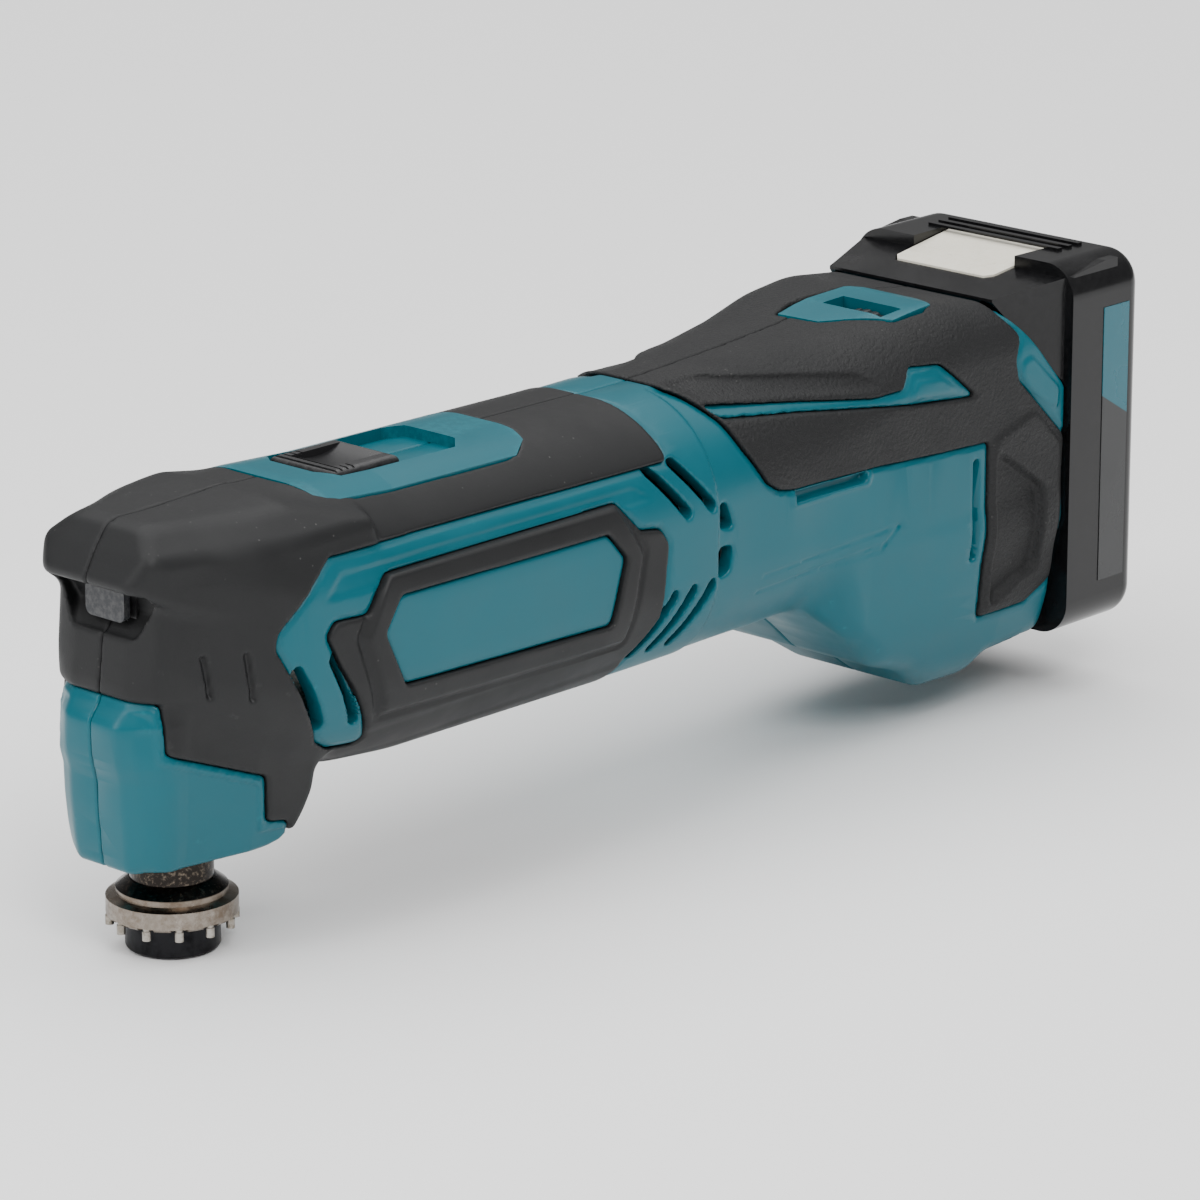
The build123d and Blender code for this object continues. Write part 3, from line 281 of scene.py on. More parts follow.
def solid(name, field, grid):
    """Closed mesh of a field, thinned where it has too many triangles."""
    field = np.broadcast_to(field, grid.counts).copy()
    for axis in range(3):
        edge = [slice(None)] * 3
        for end in (0, -1):
            edge[axis] = end
            field[tuple(edge)] = np.maximum(field[tuple(edge)], 0.01)
    piece = mesh_from(name, *surface(field, grid))
    triangles = 2 * len(piece.data.polygons)
    if triangles > MOST_TRIANGLES:
        applied(piece, "DECIMATE", ratio=MOST_TRIANGLES / triangles, use_collapse_triangulate=True)
        piece.data.shade_smooth()
    return piece


def lathe(name, profile, turns=160, centre=(0, 0), shape=None):
    """Turned piece round a vertical axis; shape(angle, r, z) may move each ring."""
    angles = np.arange(turns) * 2 * math.pi / turns
    vertices = []
    for r, z in profile:
        for angle in angles:
            radius, height = (r, z) if shape is None else shape(angle, r, z)
            vertices.append((centre[0] + radius * math.cos(angle),
                             centre[1] + radius * math.sin(angle), height))
    faces = []
    rings = len(profile)
    for i in range(rings):
        for j in range(turns):
            k = (j + 1) % turns
            after = (i + 1) % rings
            faces.append((i * turns + j, i * turns + k, after * turns + k, after * turns + j))
    return mesh_from(name, np.array(vertices), np.array(faces))


# ---------------------------------------------------------------------------
# The outer form
# ---------------------------------------------------------------------------

def barrel_rows():
    w = half_width
    return [
        (-13, 13.2, axis_z - 4, top_z - 3.0, 8),
        (-7, 15.0, axis_z - 9, top_z - 1.0, 9),
        (-3, 19.0, axis_z - 11, top_z + 0.0, 11),
        (3, 22.0, axis_z - 15, top_z + 0.6, 13),
        (12, 24.4, axis_z - 20, top_z + 1.2, 17),
        (26, w - 0.4, bottom_z + 2.0, top_z + 1.4, 20),
        (42, w, bottom_z + 0.2, top_z + 1.0, 22),
        (collar_x, w, bottom_z, top_z + 0.4, 22),
        (collar_x + 22, w - 0.4, bottom_z + 0.4, top_z + 0.6, 21),
        (collar_x + 44, w - 0.7, bottom_z + 1.6, top_z + 1.9, 20),
        (plate_x - 4, w - 0.3, bottom_z + 2.4, top_z + 3.2, 17),
        (plate_x + 10, w + 0.4, bottom_z + 2.4, hump_z - 0.4, 14),
        (plate_x + 22, w + 0.7, bottom_z + 2.4, hump_z, 12),
        (lip_x, w + 0.8, bottom_z + 2.4, lip_z, 10),
        (bay_x, w + 0.8, bottom_z + 2.4, lip_z, 10),
    ]


def barrel_field(grid):
    rows = barrel_rows()
    w, low, high, r = [track(grid.x, rows, column, 4.0) for column in (1, 2, 3, 4)]
    across = np.abs(grid.y) - (w - r)
    upright = np.abs(grid.z - (low + high) / 2) - ((high - low) / 2 - r)
    field = np.hypot(np.maximum(across, 0), np.maximum(upright, 0)) - r
    field = field + np.minimum(np.maximum(across, upright), 0)
    return both(both(field, rows[0][0] - grid.x, 2.0), grid.x - bay_x, 0.8)


def head_outline():
    """Front and rear profile of the upright head."""
    a = axis_z
    return [
        (-16.7, mouth_z), (-17.7, a - 24.3), (-17.8, a - 18.6), (-18.7, a - 15.6),
        (-18.9, a - 13.3), (-19.1, a - 8), (-15.7, a - 3.8), (-16.2, a - 2.4),
        (-14.5, a + 7.6), (-13.6, a + 12), (-12, a + 18), (8, a + 18), (12, a - 4),
        (16, a - 8), (20.0, a - 20), (20.5, a - 26), (17.5, a - 31.5), (14.5, mouth_z + 0.6),
        (10, mouth_z),
    ]


def head_rows():
    w = 13.8
    return [
        (mouth_z, w - 1.4), (mouth_z + 6, w - 0.2), (mouth_z + 16, w + 0.3),
        (mouth_z + 28, w + 0.6), (mouth_z + 33, w + 0.4), (top_z - 6, w - 0.2),
    ]


HEAD_CORNER = [
    (mouth_z, 3.0), (axis_z - 16, 3.4), (axis_z - 8, 4.6), (axis_z - 3.5, 3.0), (axis_z + 20, 3.0),
]


def head_field(grid):
    front = grid.side(head_outline(), 0.8)
    w = track(grid.z, head_rows(), 1, 3.0)
    flank = np.abs(grid.y) - w - 0.16 * np.clip(grid.x + 8, 0, 14)
    profile = [(z, x) for x, z in head_outline()[:12]]
    face = track(grid.z, profile, 1) - grid.x
    corner = (face + flank) * 0.7071 + track(grid.z, HEAD_CORNER, 1, 2.0)
    return both(both(front, flank, 1.4), corner, 2.2)


def nose_outline():
    """Nose seen from the side, with its sloped front and the shadow edge below it."""
    a = axis_z
    return [
        (nose_x + 0.2, a + 17.6), (nose_x, a + 18.6), (-16.4, a + 23.1), (-13.6, a + 26.9),
        (-10.8, top_z + 1.0), (2, top_z + 0.8), (14, top_z + 1.2), (30, top_z - 3),
        (30, a + 6), (-5, a + 12.0), (-12.6, a + 14.4), (-17.2, a + 16.9),
    ]


def nose_field(grid):
    rows = [(-20, 13.6), (-12, 14.9), (-4, 17.4), (3, 20.4), (12, 22.4), (30, 22.8)]
    w = track(grid.x, rows, 1, 5.0)
    flank = np.abs(grid.y) - w
    shoulder = (flank * 0.62 + (grid.z - top_z) * 0.78) + 3.0
    front = (flank * 0.8 - (grid.x - nose_x) * 0.6) + 2.2
    field = both(grid.side(nose_outline(), 0.4), flank, 1.2)
    return both(both(field, shoulder, 1.2), front, 1.2)


def bracket_outline():
    e = lip_x
    return [
        (e - 15.5, foot_z), (e - 1.5, foot_z), (e - 0.3, foot_z + 4.2), (bay_x, foot_z + 5.4),
        (bay_x, bottom_z + 18), (e - 60, bottom_z + 18), (e - 57, bottom_z + 10.5),
        (e - 50, bottom_z + 2.3), (e - 41, bottom_z - 5), (e - 34, bottom_z - 11.3),
        (e - 24, foot_z + 6),
    ]


def bracket_field(grid):
    rows = [(foot_z, 18.5), (foot_z + 5, 22.5), (foot_z + 15, 25.6), (bottom_z + 8, 27.0),
            (bottom_z + 20, 26.6)]
    w = track(grid.z, rows, 1, 4.0)
    flank = np.abs(grid.y) - w - 0.05 * np.clip(grid.x - lip_x, -40, 0)
    facet = (np.abs(grid.y) * 0.80 - grid.z * 0.25 - (grid.x - lip_x) * 0.55) - 37.5
    return both(both(grid.side(bracket_outline(), 1.5), flank, 4.0), facet, 1.5)


def rear_slope(grid):
    """Negative above the slope that the battery's nose hangs over."""
    return grid.side([(lip_x, lip_z + 40), (lip_x, lip_z), (bay_x, slope_z),
                      (bay_x + 40, slope_z), (bay_x + 40, lip_z + 40)])


def outer_form(grid):
    """Distance to the housing's outside, before any detail."""
    body = blend_in(barrel_field(grid), head_field(grid), 5.0)
    body = blend_in(body, nose_field(grid), 2.0)
    body = blend_in(body, bracket_field(grid), 2.5)
    return both(body, -rear_slope(grid), 0.8)


# ---------------------------------------------------------------------------
# Outlines on the housing
# ---------------------------------------------------------------------------

def front_cover_outline():
    """Soft cover of the head and the top of the barrel, with the frame round the badge."""
    a, c = axis_z, collar_x
    return [
        (-30, a - 3.6), (-13, a - 3.6), (-13, a - 13), (8.5, a - 21.3), (9, a - 30.1),
        (14, a - 31.1), (24, a - 45), (c - 7, a - 45), (c - 6.5, a - 17.7), (c - 1.3, a - 11),
        (c - 0.5, a - 2.6), (c + 0.3, a + 3.3), (c - 2, a + 6.5), (c - 7.5, a + 7.3),
        (c - 12.6, a + 13.4), (30.3, a + 13.3), (27.7, a + 10.6), (25.2, a + 6.9),
        (17.8, a + 7), (16, a + 4.6), (19.1, a - 1.6), (22.9, a - 7.7), (28.4, a - 17.8),
        (27.2, a - 18.8), (21.1, a - 18.8), (17, a - 16.3), (12.1, a - 8.7), (7.7, a - 0.4),
        (5.2, a + 4.1), (5.8, a + 7.2), (13.8, a + 15.2), (18, a + 18.7), (c + 3.9, a + 17.8),
        (c + 4.2, a + 19.7), (c, a + 45), (-30, a + 45),
    ]


def rear_cover_outline():
    """Soft cover of the grip and the rear, with the bumper."""
    a, c, e = axis_z, collar_x, lip_x
    return [
        (c + 17, a + 45), (c + 17, a + 27), (c + 19, a + 25.7), (c + 22.7, a + 21.1),
        (c + 24.7, a + 16.1), (c + 27.4, a + 11.8), (c + 29.3, a + 8.9), (c + 32.5, a + 6.9),
        (c + 37, a + 6.1), (c + 60, a + 5.8), (e - 7, a + 4.4),
        (e - 7, a - 32.4), (e + 7, a - 32.2), (e + 15.5, a - 28),
        (e + 16.4, a + 1.5), (e + 2, a + 15.3), (e + 1, a + 19.7), (e + 3, a + 24.2),
        (e, a + 28.2), (e - 3, a + 45),
    ]


def stripe_outline():
    """Hard stripe that shows through the rear cover, with the raised end."""
    a, c, e = axis_z, collar_x, lip_x
    return [
        (c + 20.3, a + 24.2), (c + 23.8, a + 21.4), (c + 41, a + 19.8), (c + 61, a + 17.5),
        (e - 30, a + 16.3), (e - 11, a + 14.5), (e - 21.7, a + 22.9), (e - 29.8, a + 23.6),
        (e - 32.3, a + 19.6), (c + 61, a + 19.2),
    ]


def dark_recess_outline():
    """Smooth sunk panel above the stripe."""
    a, c = axis_z, collar_x
    return [
        (c + 17, a + 28.0), (c + 27, a + 27.7), (c + 50.6, a + 25.2), (c + 59.4, a + 24.2),
        (c + 63.9, a + 20.6), (c + 39.5, a + 23.1), (c + 21.8, a + 25.0),
    ]


def badge_outline(grow=0.0):
    a, c, g = axis_z, collar_x, grow
    return [
        (28.5 - g, a + 2.9), (32.5 - 0.7 * g, a + 9.2 + g), (c - 17 + 0.7 * g, a + 8.8 + g),
        (c - 12.2 + g, a + 3.3), (c - 16 + g, a - 9.2 - g), (33.5 - g, a - 7.8 - g),
    ]


def bezel_outline():
    """Plate round the slide switch, seen from above."""
    x0, x1 = slide_low.x - 6.7, slide_high.x + 11.5
    rear = [(x1 - 9 + 9 * math.sin(t), 15.6 - 9 + 9 * math.cos(t))
            for t in np.linspace(0, math.pi / 2, 7)]
    half = [(x0, 6), (x0 + 1.0, 11), (x0 + 8.5, 15.6)] + rear
    return half + [(x, -y) for x, y in reversed(half)]


def window_outline(grow=0.0):
    """Opening that the slide switch runs in."""
    x0, x1 = slide_low.x + 2.0 - grow, slide_high.x - 1.5 + grow
    w = slide_high.y + 0.1 + grow
    half = [(x0, w - 4), (x0 + 3, w), (x1 - 3, w), (x1, w - 3)]
    return half + [(x, -y) for x, y in reversed(half)]


def dial_plate_outline():
    x = plate_x
    return [
        (x + 0.5, 3.6), (x + 1, -7), (x + 10.5, -18), (x + 19, -18.6), (x + 22.5, -16.6),
        (x + 24, -12), (x + 24.3, 1), (x + 22, 3.8), (x + 6, 5.2),
    ]


def dial_slot(grid, grow=0.0):
    x = (dial_low.x + dial_high.x) / 2
    y = (dial_low.y + dial_high.y) / 2
    g = grow
    return grid.plan([(x - 3 - g, y - 7.5 - g), (x + 3 + g, y - 7.5 - g),
                      (x + 3 + g, y + 7.5 + g), (x - 3 - g, y + 7.5 + g)])


def vent_lines():
    """Ends of the cooling slots, as (x, z) pairs."""
    a, c = axis_z, collar_x
    lines = [((9.7, a - 0.8), (15.6, a - 12.2)), ((17.5, a), (23.4, a - 12.4))]
    lines += [((c - 1.7 + 7 * i, a + 17.0), (c + 6.1 + 7 * i, a + 7.9)) for i in range(2)]
    lines += [((c + 2.5 + 5.4 * i, a - 7.6), (c - 5 + 5.4 * i, a - 17.8)) for i in range(3)]
    return lines


def collar_windows():
    """Outlines of two small windows at the rear of the collar."""
    a, c = axis_z, collar_x
    return [
        [(c + 15.7, a + 7.8), (c + 17.6, a + 7.6), (c + 19.8, a + 2.2), (c + 15.6, a + 2.6)],
        [(c + 15.4, a - 1.0), (c + 19.7, a - 1.3), (c + 18.5, a - 6.4), (c + 15.4, a - 7.2)],
    ]


# ---------------------------------------------------------------------------
# Relief: how far the surface stands out, in side view
# ---------------------------------------------------------------------------

def stamp(distance, height, start, end):
    """Raised area, or a sunk one below zero, with sloped edges between two distances."""
    return height * (1 - step(distance, start, end))


def cover_relief(grid):
    """Details of the soft cover."""
    a, c, e = axis_z, collar_x, lip_x
    height = np.full((grid.counts[0], 1, grid.counts[2]), proud, np.float32)
    for x, low in ((-6.0, a - 3.0), (0.6, a - 4.2)):
        groove = capsule(grid, (x - 0.5, a + 4), (x + 0.6, low), 0.35)
        height = height + stamp(groove, -1.1, -0.3, 0.5)
    badge_frame = grid.side(badge_outline(4.8), 0.4)
    height = height + stamp(badge_frame, 0.9, -1.0, 0.2)
    height = height + stamp(np.abs(badge_frame - 0.9), -0.45, 0.1, 0.8)
    lower = grid.side([(24, a - 16), (c - 12, a - 13.5), (c - 4, a - 20), (20, a - 24)], 1.0)
    height = height + stamp(lower, -0.35, -1.2, 0.8)
    dark_panel = grid.side(dark_recess_outline(), 0.4)
    height = height + stamp(dark_panel, -0.9, -0.9, 0.3)
    bumper = grid.side([(e - 6.5, a + 5), (e - 6.5, a - 33), (e + 7, a - 31.5), (e + 15, a - 27.5),
                        (e + 15.6, a + 0.6), (e + 7, a + 9)], 0.8)
    height = height + stamp(bumper, 0.6, -1.6, 0.0)
    well = grid.side([(e - 6, a + 3.4), (e - 2.4, a + 2.3), (e + 7.5, a - 4.6), (e + 11.2, a - 7),
                      (e + 10.4, a - 26), (e + 4.4, a - 27.4), (e - 6, a - 32.6)], 0.8)
    return height + stamp(well, -1.85, -2.4, -0.6)


def bracket_lines():
    """Ends of the fine grooves on the flank over the bracket."""
    a, c = axis_z, collar_x
    return [
        ((c + 67.5, a - 7.4), (c + 29, a - 9.6)), ((c + 67.5, a - 7.4), (c + 63, a - 11)),
        ((c + 64, a - 10.4), (c + 28, a - 12.8)), ((c + 63, a - 11.6), (c + 46, a - 12)),
    ]


def shell_relief(grid, cover):
    """Details of the hard shell; cover is the distance to the soft covers' outlines."""
    a, c, e = axis_z, collar_x, lip_x
    edge_depth = 0.28
    height = edge_depth * step(cover, 0.8, 1.15) - edge_depth
    slot = grid.side([(c + 37.3, a + 5.5), (c + 37.5, a + 3.4), (c + 57.6, a + 3.6),
                      (c + 58.2, a + 5.3)])
    slot_rim = grid.side([(c + 35.5, a + 7), (c + 36, a + 2.2), (c + 59, a + 2.4),
                          (c + 60, a + 7)], 0.3)
    height = height + stamp(slot_rim, 0.35, -0.5, 0.3) + stamp(slot, -2.4, -0.35, 0.25)
    upright_slot = capsule(grid, (e - 10.6, a + 0.6), (e - 10.6, a - 18.8), 0.75)
    height = height + stamp(upright_slot, -2.2, -0.4, 0.3)
    for start, end in bracket_lines():
        height = height + stamp(capsule(grid, start, end, 0.12), -0.22, -0.1, 0.45)
    stripe_end = grid.side([(e - 31, a + 17.6), (e - 29, a + 21.2), (e - 22.4, a + 20.8),
                            (e - 15.4, a + 16.2)], 0.3)
    height = height + stamp(stripe_end, 0.5, -0.8, 0.3)
    tail = grid.side([(e + 3.2, a + 19), (e + 2.6, a + 16), (e + 5, a + 12.8), (e + 14.5, a + 6.6),
                      (e + 15, a + 11.5), (e + 6, a + 19.6)], 0.3)
    height = height + stamp(tail, 0.45, -0.7, 0.3)
    panel = grid.side([(15.2, a + 11.3), (c - 2, a + 12.2), (c - 7, a + 15.4), (20, a + 15.6)], 0.3)
    height = height + stamp(panel, -0.4, -0.8, 0.4) * step(cover, 0.6, 1.2)
    boot = grid.side([(-24, a - 5.4), (-14.6, a - 5.6), (-14.6, a - 14.4), (6.8, a - 22.6),
                      (7.2, a - 31.8), (18, a - 33), (18, a - 40), (-24, a - 40)], 0.5)
    height = height + stamp(boot, -0.5, -0.3, 0.25)
    behind_collar = step(grid.x, c + 14.4, c + 15.0) * (1 - step(grid.x, c + 22, c + 40))
    return height - 0.45 * behind_collar


# ---------------------------------------------------------------------------
# Housing pieces
# ---------------------------------------------------------------------------

def lamp_recess(grid):
    """Pocket for the work light under the nose."""
    a = axis_z
    side = grid.side([(nose_x - 3, a + 6.4), (-14.6, a + 7.6), (-11.2, a + 11.6), (-12.4, a + 16.4),
                      (-15.4, a + 16.6), (nose_x - 3, a + 17.2)], 0.3)
    flank = np.abs(grid.y) - 10.6 + 0.55 * np.clip(grid.z - a - 12, -6, 6) * -1
    return both(side, flank, 0.8)


def cut_shell_openings(shell, grid):
    """Vents, collar windows, neck, battery bay, dial slot and switch window."""
    for a, b in vent_lines():
        shell = both(shell, -capsule(grid, a, b, vent_r), 0.35)
    for points in collar_windows():
        shell = both(shell, -grid.side(points, 0.3), 0.3)
    neck = np.maximum(np.hypot(grid.x, grid.y) - neck_r, grid.z - mouth_z - 6)
    slot = np.maximum(dial_slot(grid, 0.5), axis_z - grid.z)
    window = np.maximum(grid.plan(window_outline(1.0)), slide_low.z + 6 - grid.z)
    for opening in (lamp_recess(grid), neck, battery_bay(grid), slot, window):
        shell = np.maximum(shell, -opening)
    return shell


def battery_bay(grid):
    """Room for the rails that the battery slides on."""
    half, floor = 21.9, 7.2
    return rounded_box(grid, (lip_x + 6.7, bay_x + 9), (-half, half), (floor, 90), 0.5)


def housing_half(sign):
    """The pieces of one half: shell, two soft covers and the badge."""
    name = "left" if sign < 0 else "right"
    span = (-30.6, 0.9) if sign < 0 else (-0.9, 30.6)
    grid = Grid((-21, span[0], 0.6), (bay_x + 1, span[1], 83), CELL)
    form = outer_form(grid)
    other_half = grid.y * -sign
    plates = np.minimum(grid.plan(bezel_outline(), 0.5), grid.plan(dial_plate_outline(), 0.5))
    plates = np.maximum(plates, axis_z - grid.z)
    badge = grid.side(badge_outline(), 0.4)
    recess = lamp_recess(grid)
    front_edge = grid.side(front_cover_outline(), 0.4)
    front = both(both(front_edge, 0.1 - badge), 0.1 - plates)
    stripe = np.maximum(grid.side(stripe_outline(), 0.3), top_strip - np.abs(grid.y))
    rear = both(both(grid.side(rear_cover_outline(), 0.5), 0.1 - stripe), 0.1 - plates)
    relief = shell_relief(grid, np.minimum(front_edge, rear))
    flank = step(np.abs(grid.y), 6, 9)
    thick = skin + 2.0 * (1 - step(recess, 1.2, 2.4))

    covered = np.minimum(np.minimum(np.minimum(front, rear), badge), plates)
    shell = both(form - relief * flank, 0.1 - covered, 0.45)
    shell = np.maximum(np.minimum(shell, form + thick), -(form + deep))
    shell = both(cut_shell_openings(shell, grid), other_half, seam_r)
    pieces = {name + "_housing": solid(name + "_shell", shell, grid)}

    soft = form - cover_relief(grid) * flank - proud * (1 - flank)
    backing = -(form + thick - 0.1)
    hollows = np.minimum(recess, battery_bay(grid))
    for label, region in (("front", front), ("rear", rear)):
        cover = np.maximum(both(soft, region, 0.55), backing)
        cover = both(np.maximum(cover, -hollows), other_half, seam_r)
        pieces[name + "_" + label + "_grip"] = solid(name + "_" + label + "_cover", cover, grid)
    plate = np.maximum(both(form - 0.45, badge, 0.7), backing)
    plate = np.maximum(plate, top_strip - np.abs(grid.y))
    pieces[name + "_badge"] = solid(name + "_badge_plate", plate, grid)
    return pieces


def dial_wheel():
    """Thumb wheel of the speed dial, its rim nearly level with the plate."""
    x0, x1 = dial_low.x, dial_high.x
    y, z = (dial_low.y + dial_high.y) / 2, (dial_low.z + dial_high.z) / 2
    r = (dial_high.z - dial_low.z) / 2 + 1.9
    profile = [(3.2, x0), (r - 0.5, x0), (r, x0 + 0.5), (r, x1 - 0.5), (r - 0.5, x1), (3.2, x1)]

    def knurl(angle, radius, height):
        dip = 0.35 * (0.5 - 0.5 * math.cos(angle * 36)) ** 3 if radius > r - 0.1 else 0
        return radius - dip, height

    piece = lathe("speed_dial_wheel", profile, turns=432, shape=knurl)
    for vertex in piece.data.vertices:
        a, b, c = vertex.co
        vertex.co = (c, y * MM + b, z * MM + a)
    piece.data.flip_normals()
    piece.data.set_sharp_from_angle(angle=math.radians(35))
    return piece


# ---------------------------------------------------------------------------
# Materials
# ---------------------------------------------------------------------------

def group_tree(name, inputs, outputs):
    """Empty shader group with named sockets."""
    tree = bpy.data.node_groups.new(name, "ShaderNodeTree")
    for label, kind, value in inputs:
        socket = tree.interface.new_socket(label, in_out="INPUT", socket_type=kind)
        if value is not None:
            socket.default_value = value
    for label, kind in outputs:
        tree.interface.new_socket(label, in_out="OUTPUT", socket_type=kind)
    return tree, tree.nodes.new("NodeGroupInput"), tree.nodes.new("NodeGroupOutput")


def noise(tree, scale, detail=3.0, roughness=0.55, vector=None):
    node = tree.nodes.new("ShaderNodeTexNoise")
    node.inputs["Scale"].default_value = scale
    node.inputs["Detail"].default_value = detail
    node.inputs["Roughness"].default_value = roughness
    if vector is not None:
        tree.links.new(vector, node.inputs["Vector"])
    return node


def maths(tree, operation, a, b, clamp=False):
    node = tree.nodes.new("ShaderNodeMath")
    node.operation = operation
    node.use_clamp = clamp
    for socket, value in zip(node.inputs, (a, b)):
        if isinstance(value, (int, float)):
            socket.default_value = value
        else:
            tree.links.new(value, socket)
    return node.outputs[0]


def spread(tree, value, low, high, to_low=0.0, to_high=1.0):
    """Map a value's range onto another, clamped."""
    node = tree.nodes.new("ShaderNodeMapRange")
    tree.links.new(value, node.inputs["Value"])
    ends = {"From Min": low, "From Max": high, "To Min": to_low, "To Max": to_high}
    for label, number in ends.items():
        if isinstance(number, (int, float)):
            node.inputs[label].default_value = number
        else:
            tree.links.new(number, node.inputs[label])
    return node.outputs["Result"]


def mixed(tree, factor, a, b):
    node = tree.nodes.new("ShaderNodeMix")
    node.data_type = "RGBA"
    factor_in, a_in, b_in = node.inputs["Factor"], node.inputs[6], node.inputs[7]
    for socket, value in ((factor_in, factor), (a_in, a), (b_in, b)):
        if isinstance(value, (int, float, tuple)):
            socket.default_value = value
        else:
            tree.links.new(value, socket)
    return node.outputs[2]


def place(tree):
    node = tree.nodes.new("ShaderNodeTexCoord")
    return node.outputs["Object"]


def moulded_group():
    """Moulded plastic or rubber: grain height, mottled colour and roughness."""
    tree, start, end = group_tree("moulded surface", [
        ("Colour", "NodeSocketColor", (0.5, 0.5, 0.5, 1)),
        ("Grain scale", "NodeSocketFloat", 2500.0),
        ("Mottle", "NodeSocketFloat", 0.1), ("Roughness", "NodeSocketFloat", 0.4),
        ("Roughness spread", "NodeSocketFloat", 0.08)], [
        ("Colour", "NodeSocketColor"), ("Roughness", "NodeSocketFloat"),
        ("Height", "NodeSocketFloat")])
    here = place(tree)
    grain = noise(tree, 2500, 4.0, 0.6, here)
    tree.links.new(start.outputs["Grain scale"], grain.inputs["Scale"])
    broad = noise(tree, 60, 4.0, 0.6, here)
    patches = spread(tree, broad.outputs["Fac"], 0.3, 0.7, -1.0, 1.0)
    shift = maths(tree, "MULTIPLY", patches, start.outputs["Mottle"])
    bright = tree.nodes.new("ShaderNodeHueSaturation")
    tree.links.new(start.outputs["Colour"], bright.inputs["Color"])
    tree.links.new(maths(tree, "ADD", shift, 1.0), bright.inputs["Value"])
    uneven = maths(tree, "MULTIPLY", patches, start.outputs["Roughness spread"])
    tree.links.new(bright.outputs["Color"], end.inputs["Colour"])
    roughness = maths(tree, "ADD", start.outputs["Roughness"], uneven, True)
    tree.links.new(roughness, end.inputs["Roughness"])
    tree.links.new(grain.outputs["Fac"], end.inputs["Height"])
    return tree


def wear_group():
    """Mask of exposed edges, broken up by noise."""
    tree, start, end = group_tree("worn edges", [
        ("Amount", "NodeSocketFloat", 0.5)], [("Mask", "NodeSocketFloat")])
    geometry = tree.nodes.new("ShaderNodeNewGeometry")
    edge = spread(tree, geometry.outputs["Pointiness"], 0.52, 0.6)
    broken = spread(tree, noise(tree, 900, 5.0, 0.65, place(tree)).outputs["Fac"], 0.42, 0.62)
    mask = maths(tree, "MULTIPLY", edge, broken)
    tree.links.new(maths(tree, "MULTIPLY", mask, start.outputs["Amount"], True), end.inputs["Mask"])
    return tree


def dust_group():
    """Fine pale specks that settle on soft plastics."""
    tree, start, end = group_tree("dust specks", [
        ("Amount", "NodeSocketFloat", 0.3)], [("Mask", "NodeSocketFloat")])
    cells = tree.nodes.new("ShaderNodeTexVoronoi")
    cells.inputs["Scale"].default_value = 420
    tree.links.new(place(tree), cells.inputs["Vector"])
    speck = spread(tree, cells.outputs["Distance"], 0.10, 0.04)
    patch = spread(tree, noise(tree, 45, 3.0, 0.5, place(tree)).outputs["Fac"], 0.5, 0.68)
    mask = maths(tree, "MULTIPLY", speck, patch)
    tree.links.new(maths(tree, "MULTIPLY", mask, start.outputs["Amount"], True), end.inputs["Mask"])
    return tree


GROUPS = {}


def placed(tree, name, **values):
    """Put one of the shared effects in a material, with its own values."""
    if name not in GROUPS:
        GROUPS[name] = {"moulded": moulded_group, "wear": wear_group, "dust": dust_group}[name]()
    node = tree.nodes.new("ShaderNodeGroup")
    node.node_tree = GROUPS[name]
    for label, value in values.items():
        node.inputs[label.replace("_", " ")].default_value = value
    return node


def new_material(name):
    material = bpy.data.materials.new(name)
    material.use_nodes = True
    tree = material.node_tree
    return material, tree, tree.nodes["Principled BSDF"]


def bump(tree, shader, height, strength, distance):
    node = tree.nodes.new("ShaderNodeBump")
    node.inputs["Strength"].default_value = strength
    node.inputs["Distance"].default_value = distance
    tree.links.new(height, node.inputs["Height"])
    tree.links.new(node.outputs["Normal"], shader.inputs["Normal"])


def plastic(name, colour, worn, roughness=0.4, mottle=0.05, grain=(2500, 0.15, 0.00004), dust=0.0,
            wear=0.5, coat=0.0, specular=0.5):
    """Moulded part with edge wear and dust."""
    material, tree, shader = new_material(name)
    base = placed(tree, "moulded", Colour=colour, Grain_scale=grain[0], Mottle=mottle,
                  Roughness=roughness)
    edges = placed(tree, "wear", Amount=wear)
    result = mixed(tree, edges.outputs["Mask"], base.outputs["Colour"], worn)
    if dust:
        specks = placed(tree, "dust", Amount=dust)
        result = mixed(tree, specks.outputs["Mask"], result, (0.45, 0.44, 0.42, 1))
    tree.links.new(result, shader.inputs["Base Color"])
    tree.links.new(base.outputs["Roughness"], shader.inputs["Roughness"])
    shader.inputs["Coat Weight"].default_value = coat
    shader.inputs["Coat Roughness"].default_value = 0.12
    shader.inputs["Specular IOR Level"].default_value = specular
    bump(tree, shader, base.outputs["Height"], grain[1], grain[2])
    return material


def metal(name, colour, stained, roughness=0.3, scale=700, wear=0.6, strength=0.2):
    """Bare or plated metal with stains and bright edges."""
    material, tree, shader = new_material(name)
    base = placed(tree, "moulded", Colour=colour, Grain_scale=scale, Mottle=0.12,
                  Roughness=roughness, Roughness_spread=0.12)
    stain = noise(tree, 260, 6.0, 0.7, place(tree))
    patches = spread(tree, stain.outputs["Fac"], 0.45, 0.62)
    result = mixed(tree, patches, base.outputs["Colour"], stained)
    edges = placed(tree, "wear", Amount=wear)
    result = mixed(tree, edges.outputs["Mask"], result, (0.8, 0.78, 0.74, 1))
    tree.links.new(result, shader.inputs["Base Color"])
    tree.links.new(base.outputs["Roughness"], shader.inputs["Roughness"])
    shader.inputs["Metallic"].default_value = 1.0
    bump(tree, shader, base.outputs["Height"], strength, 0.00005)
    return material


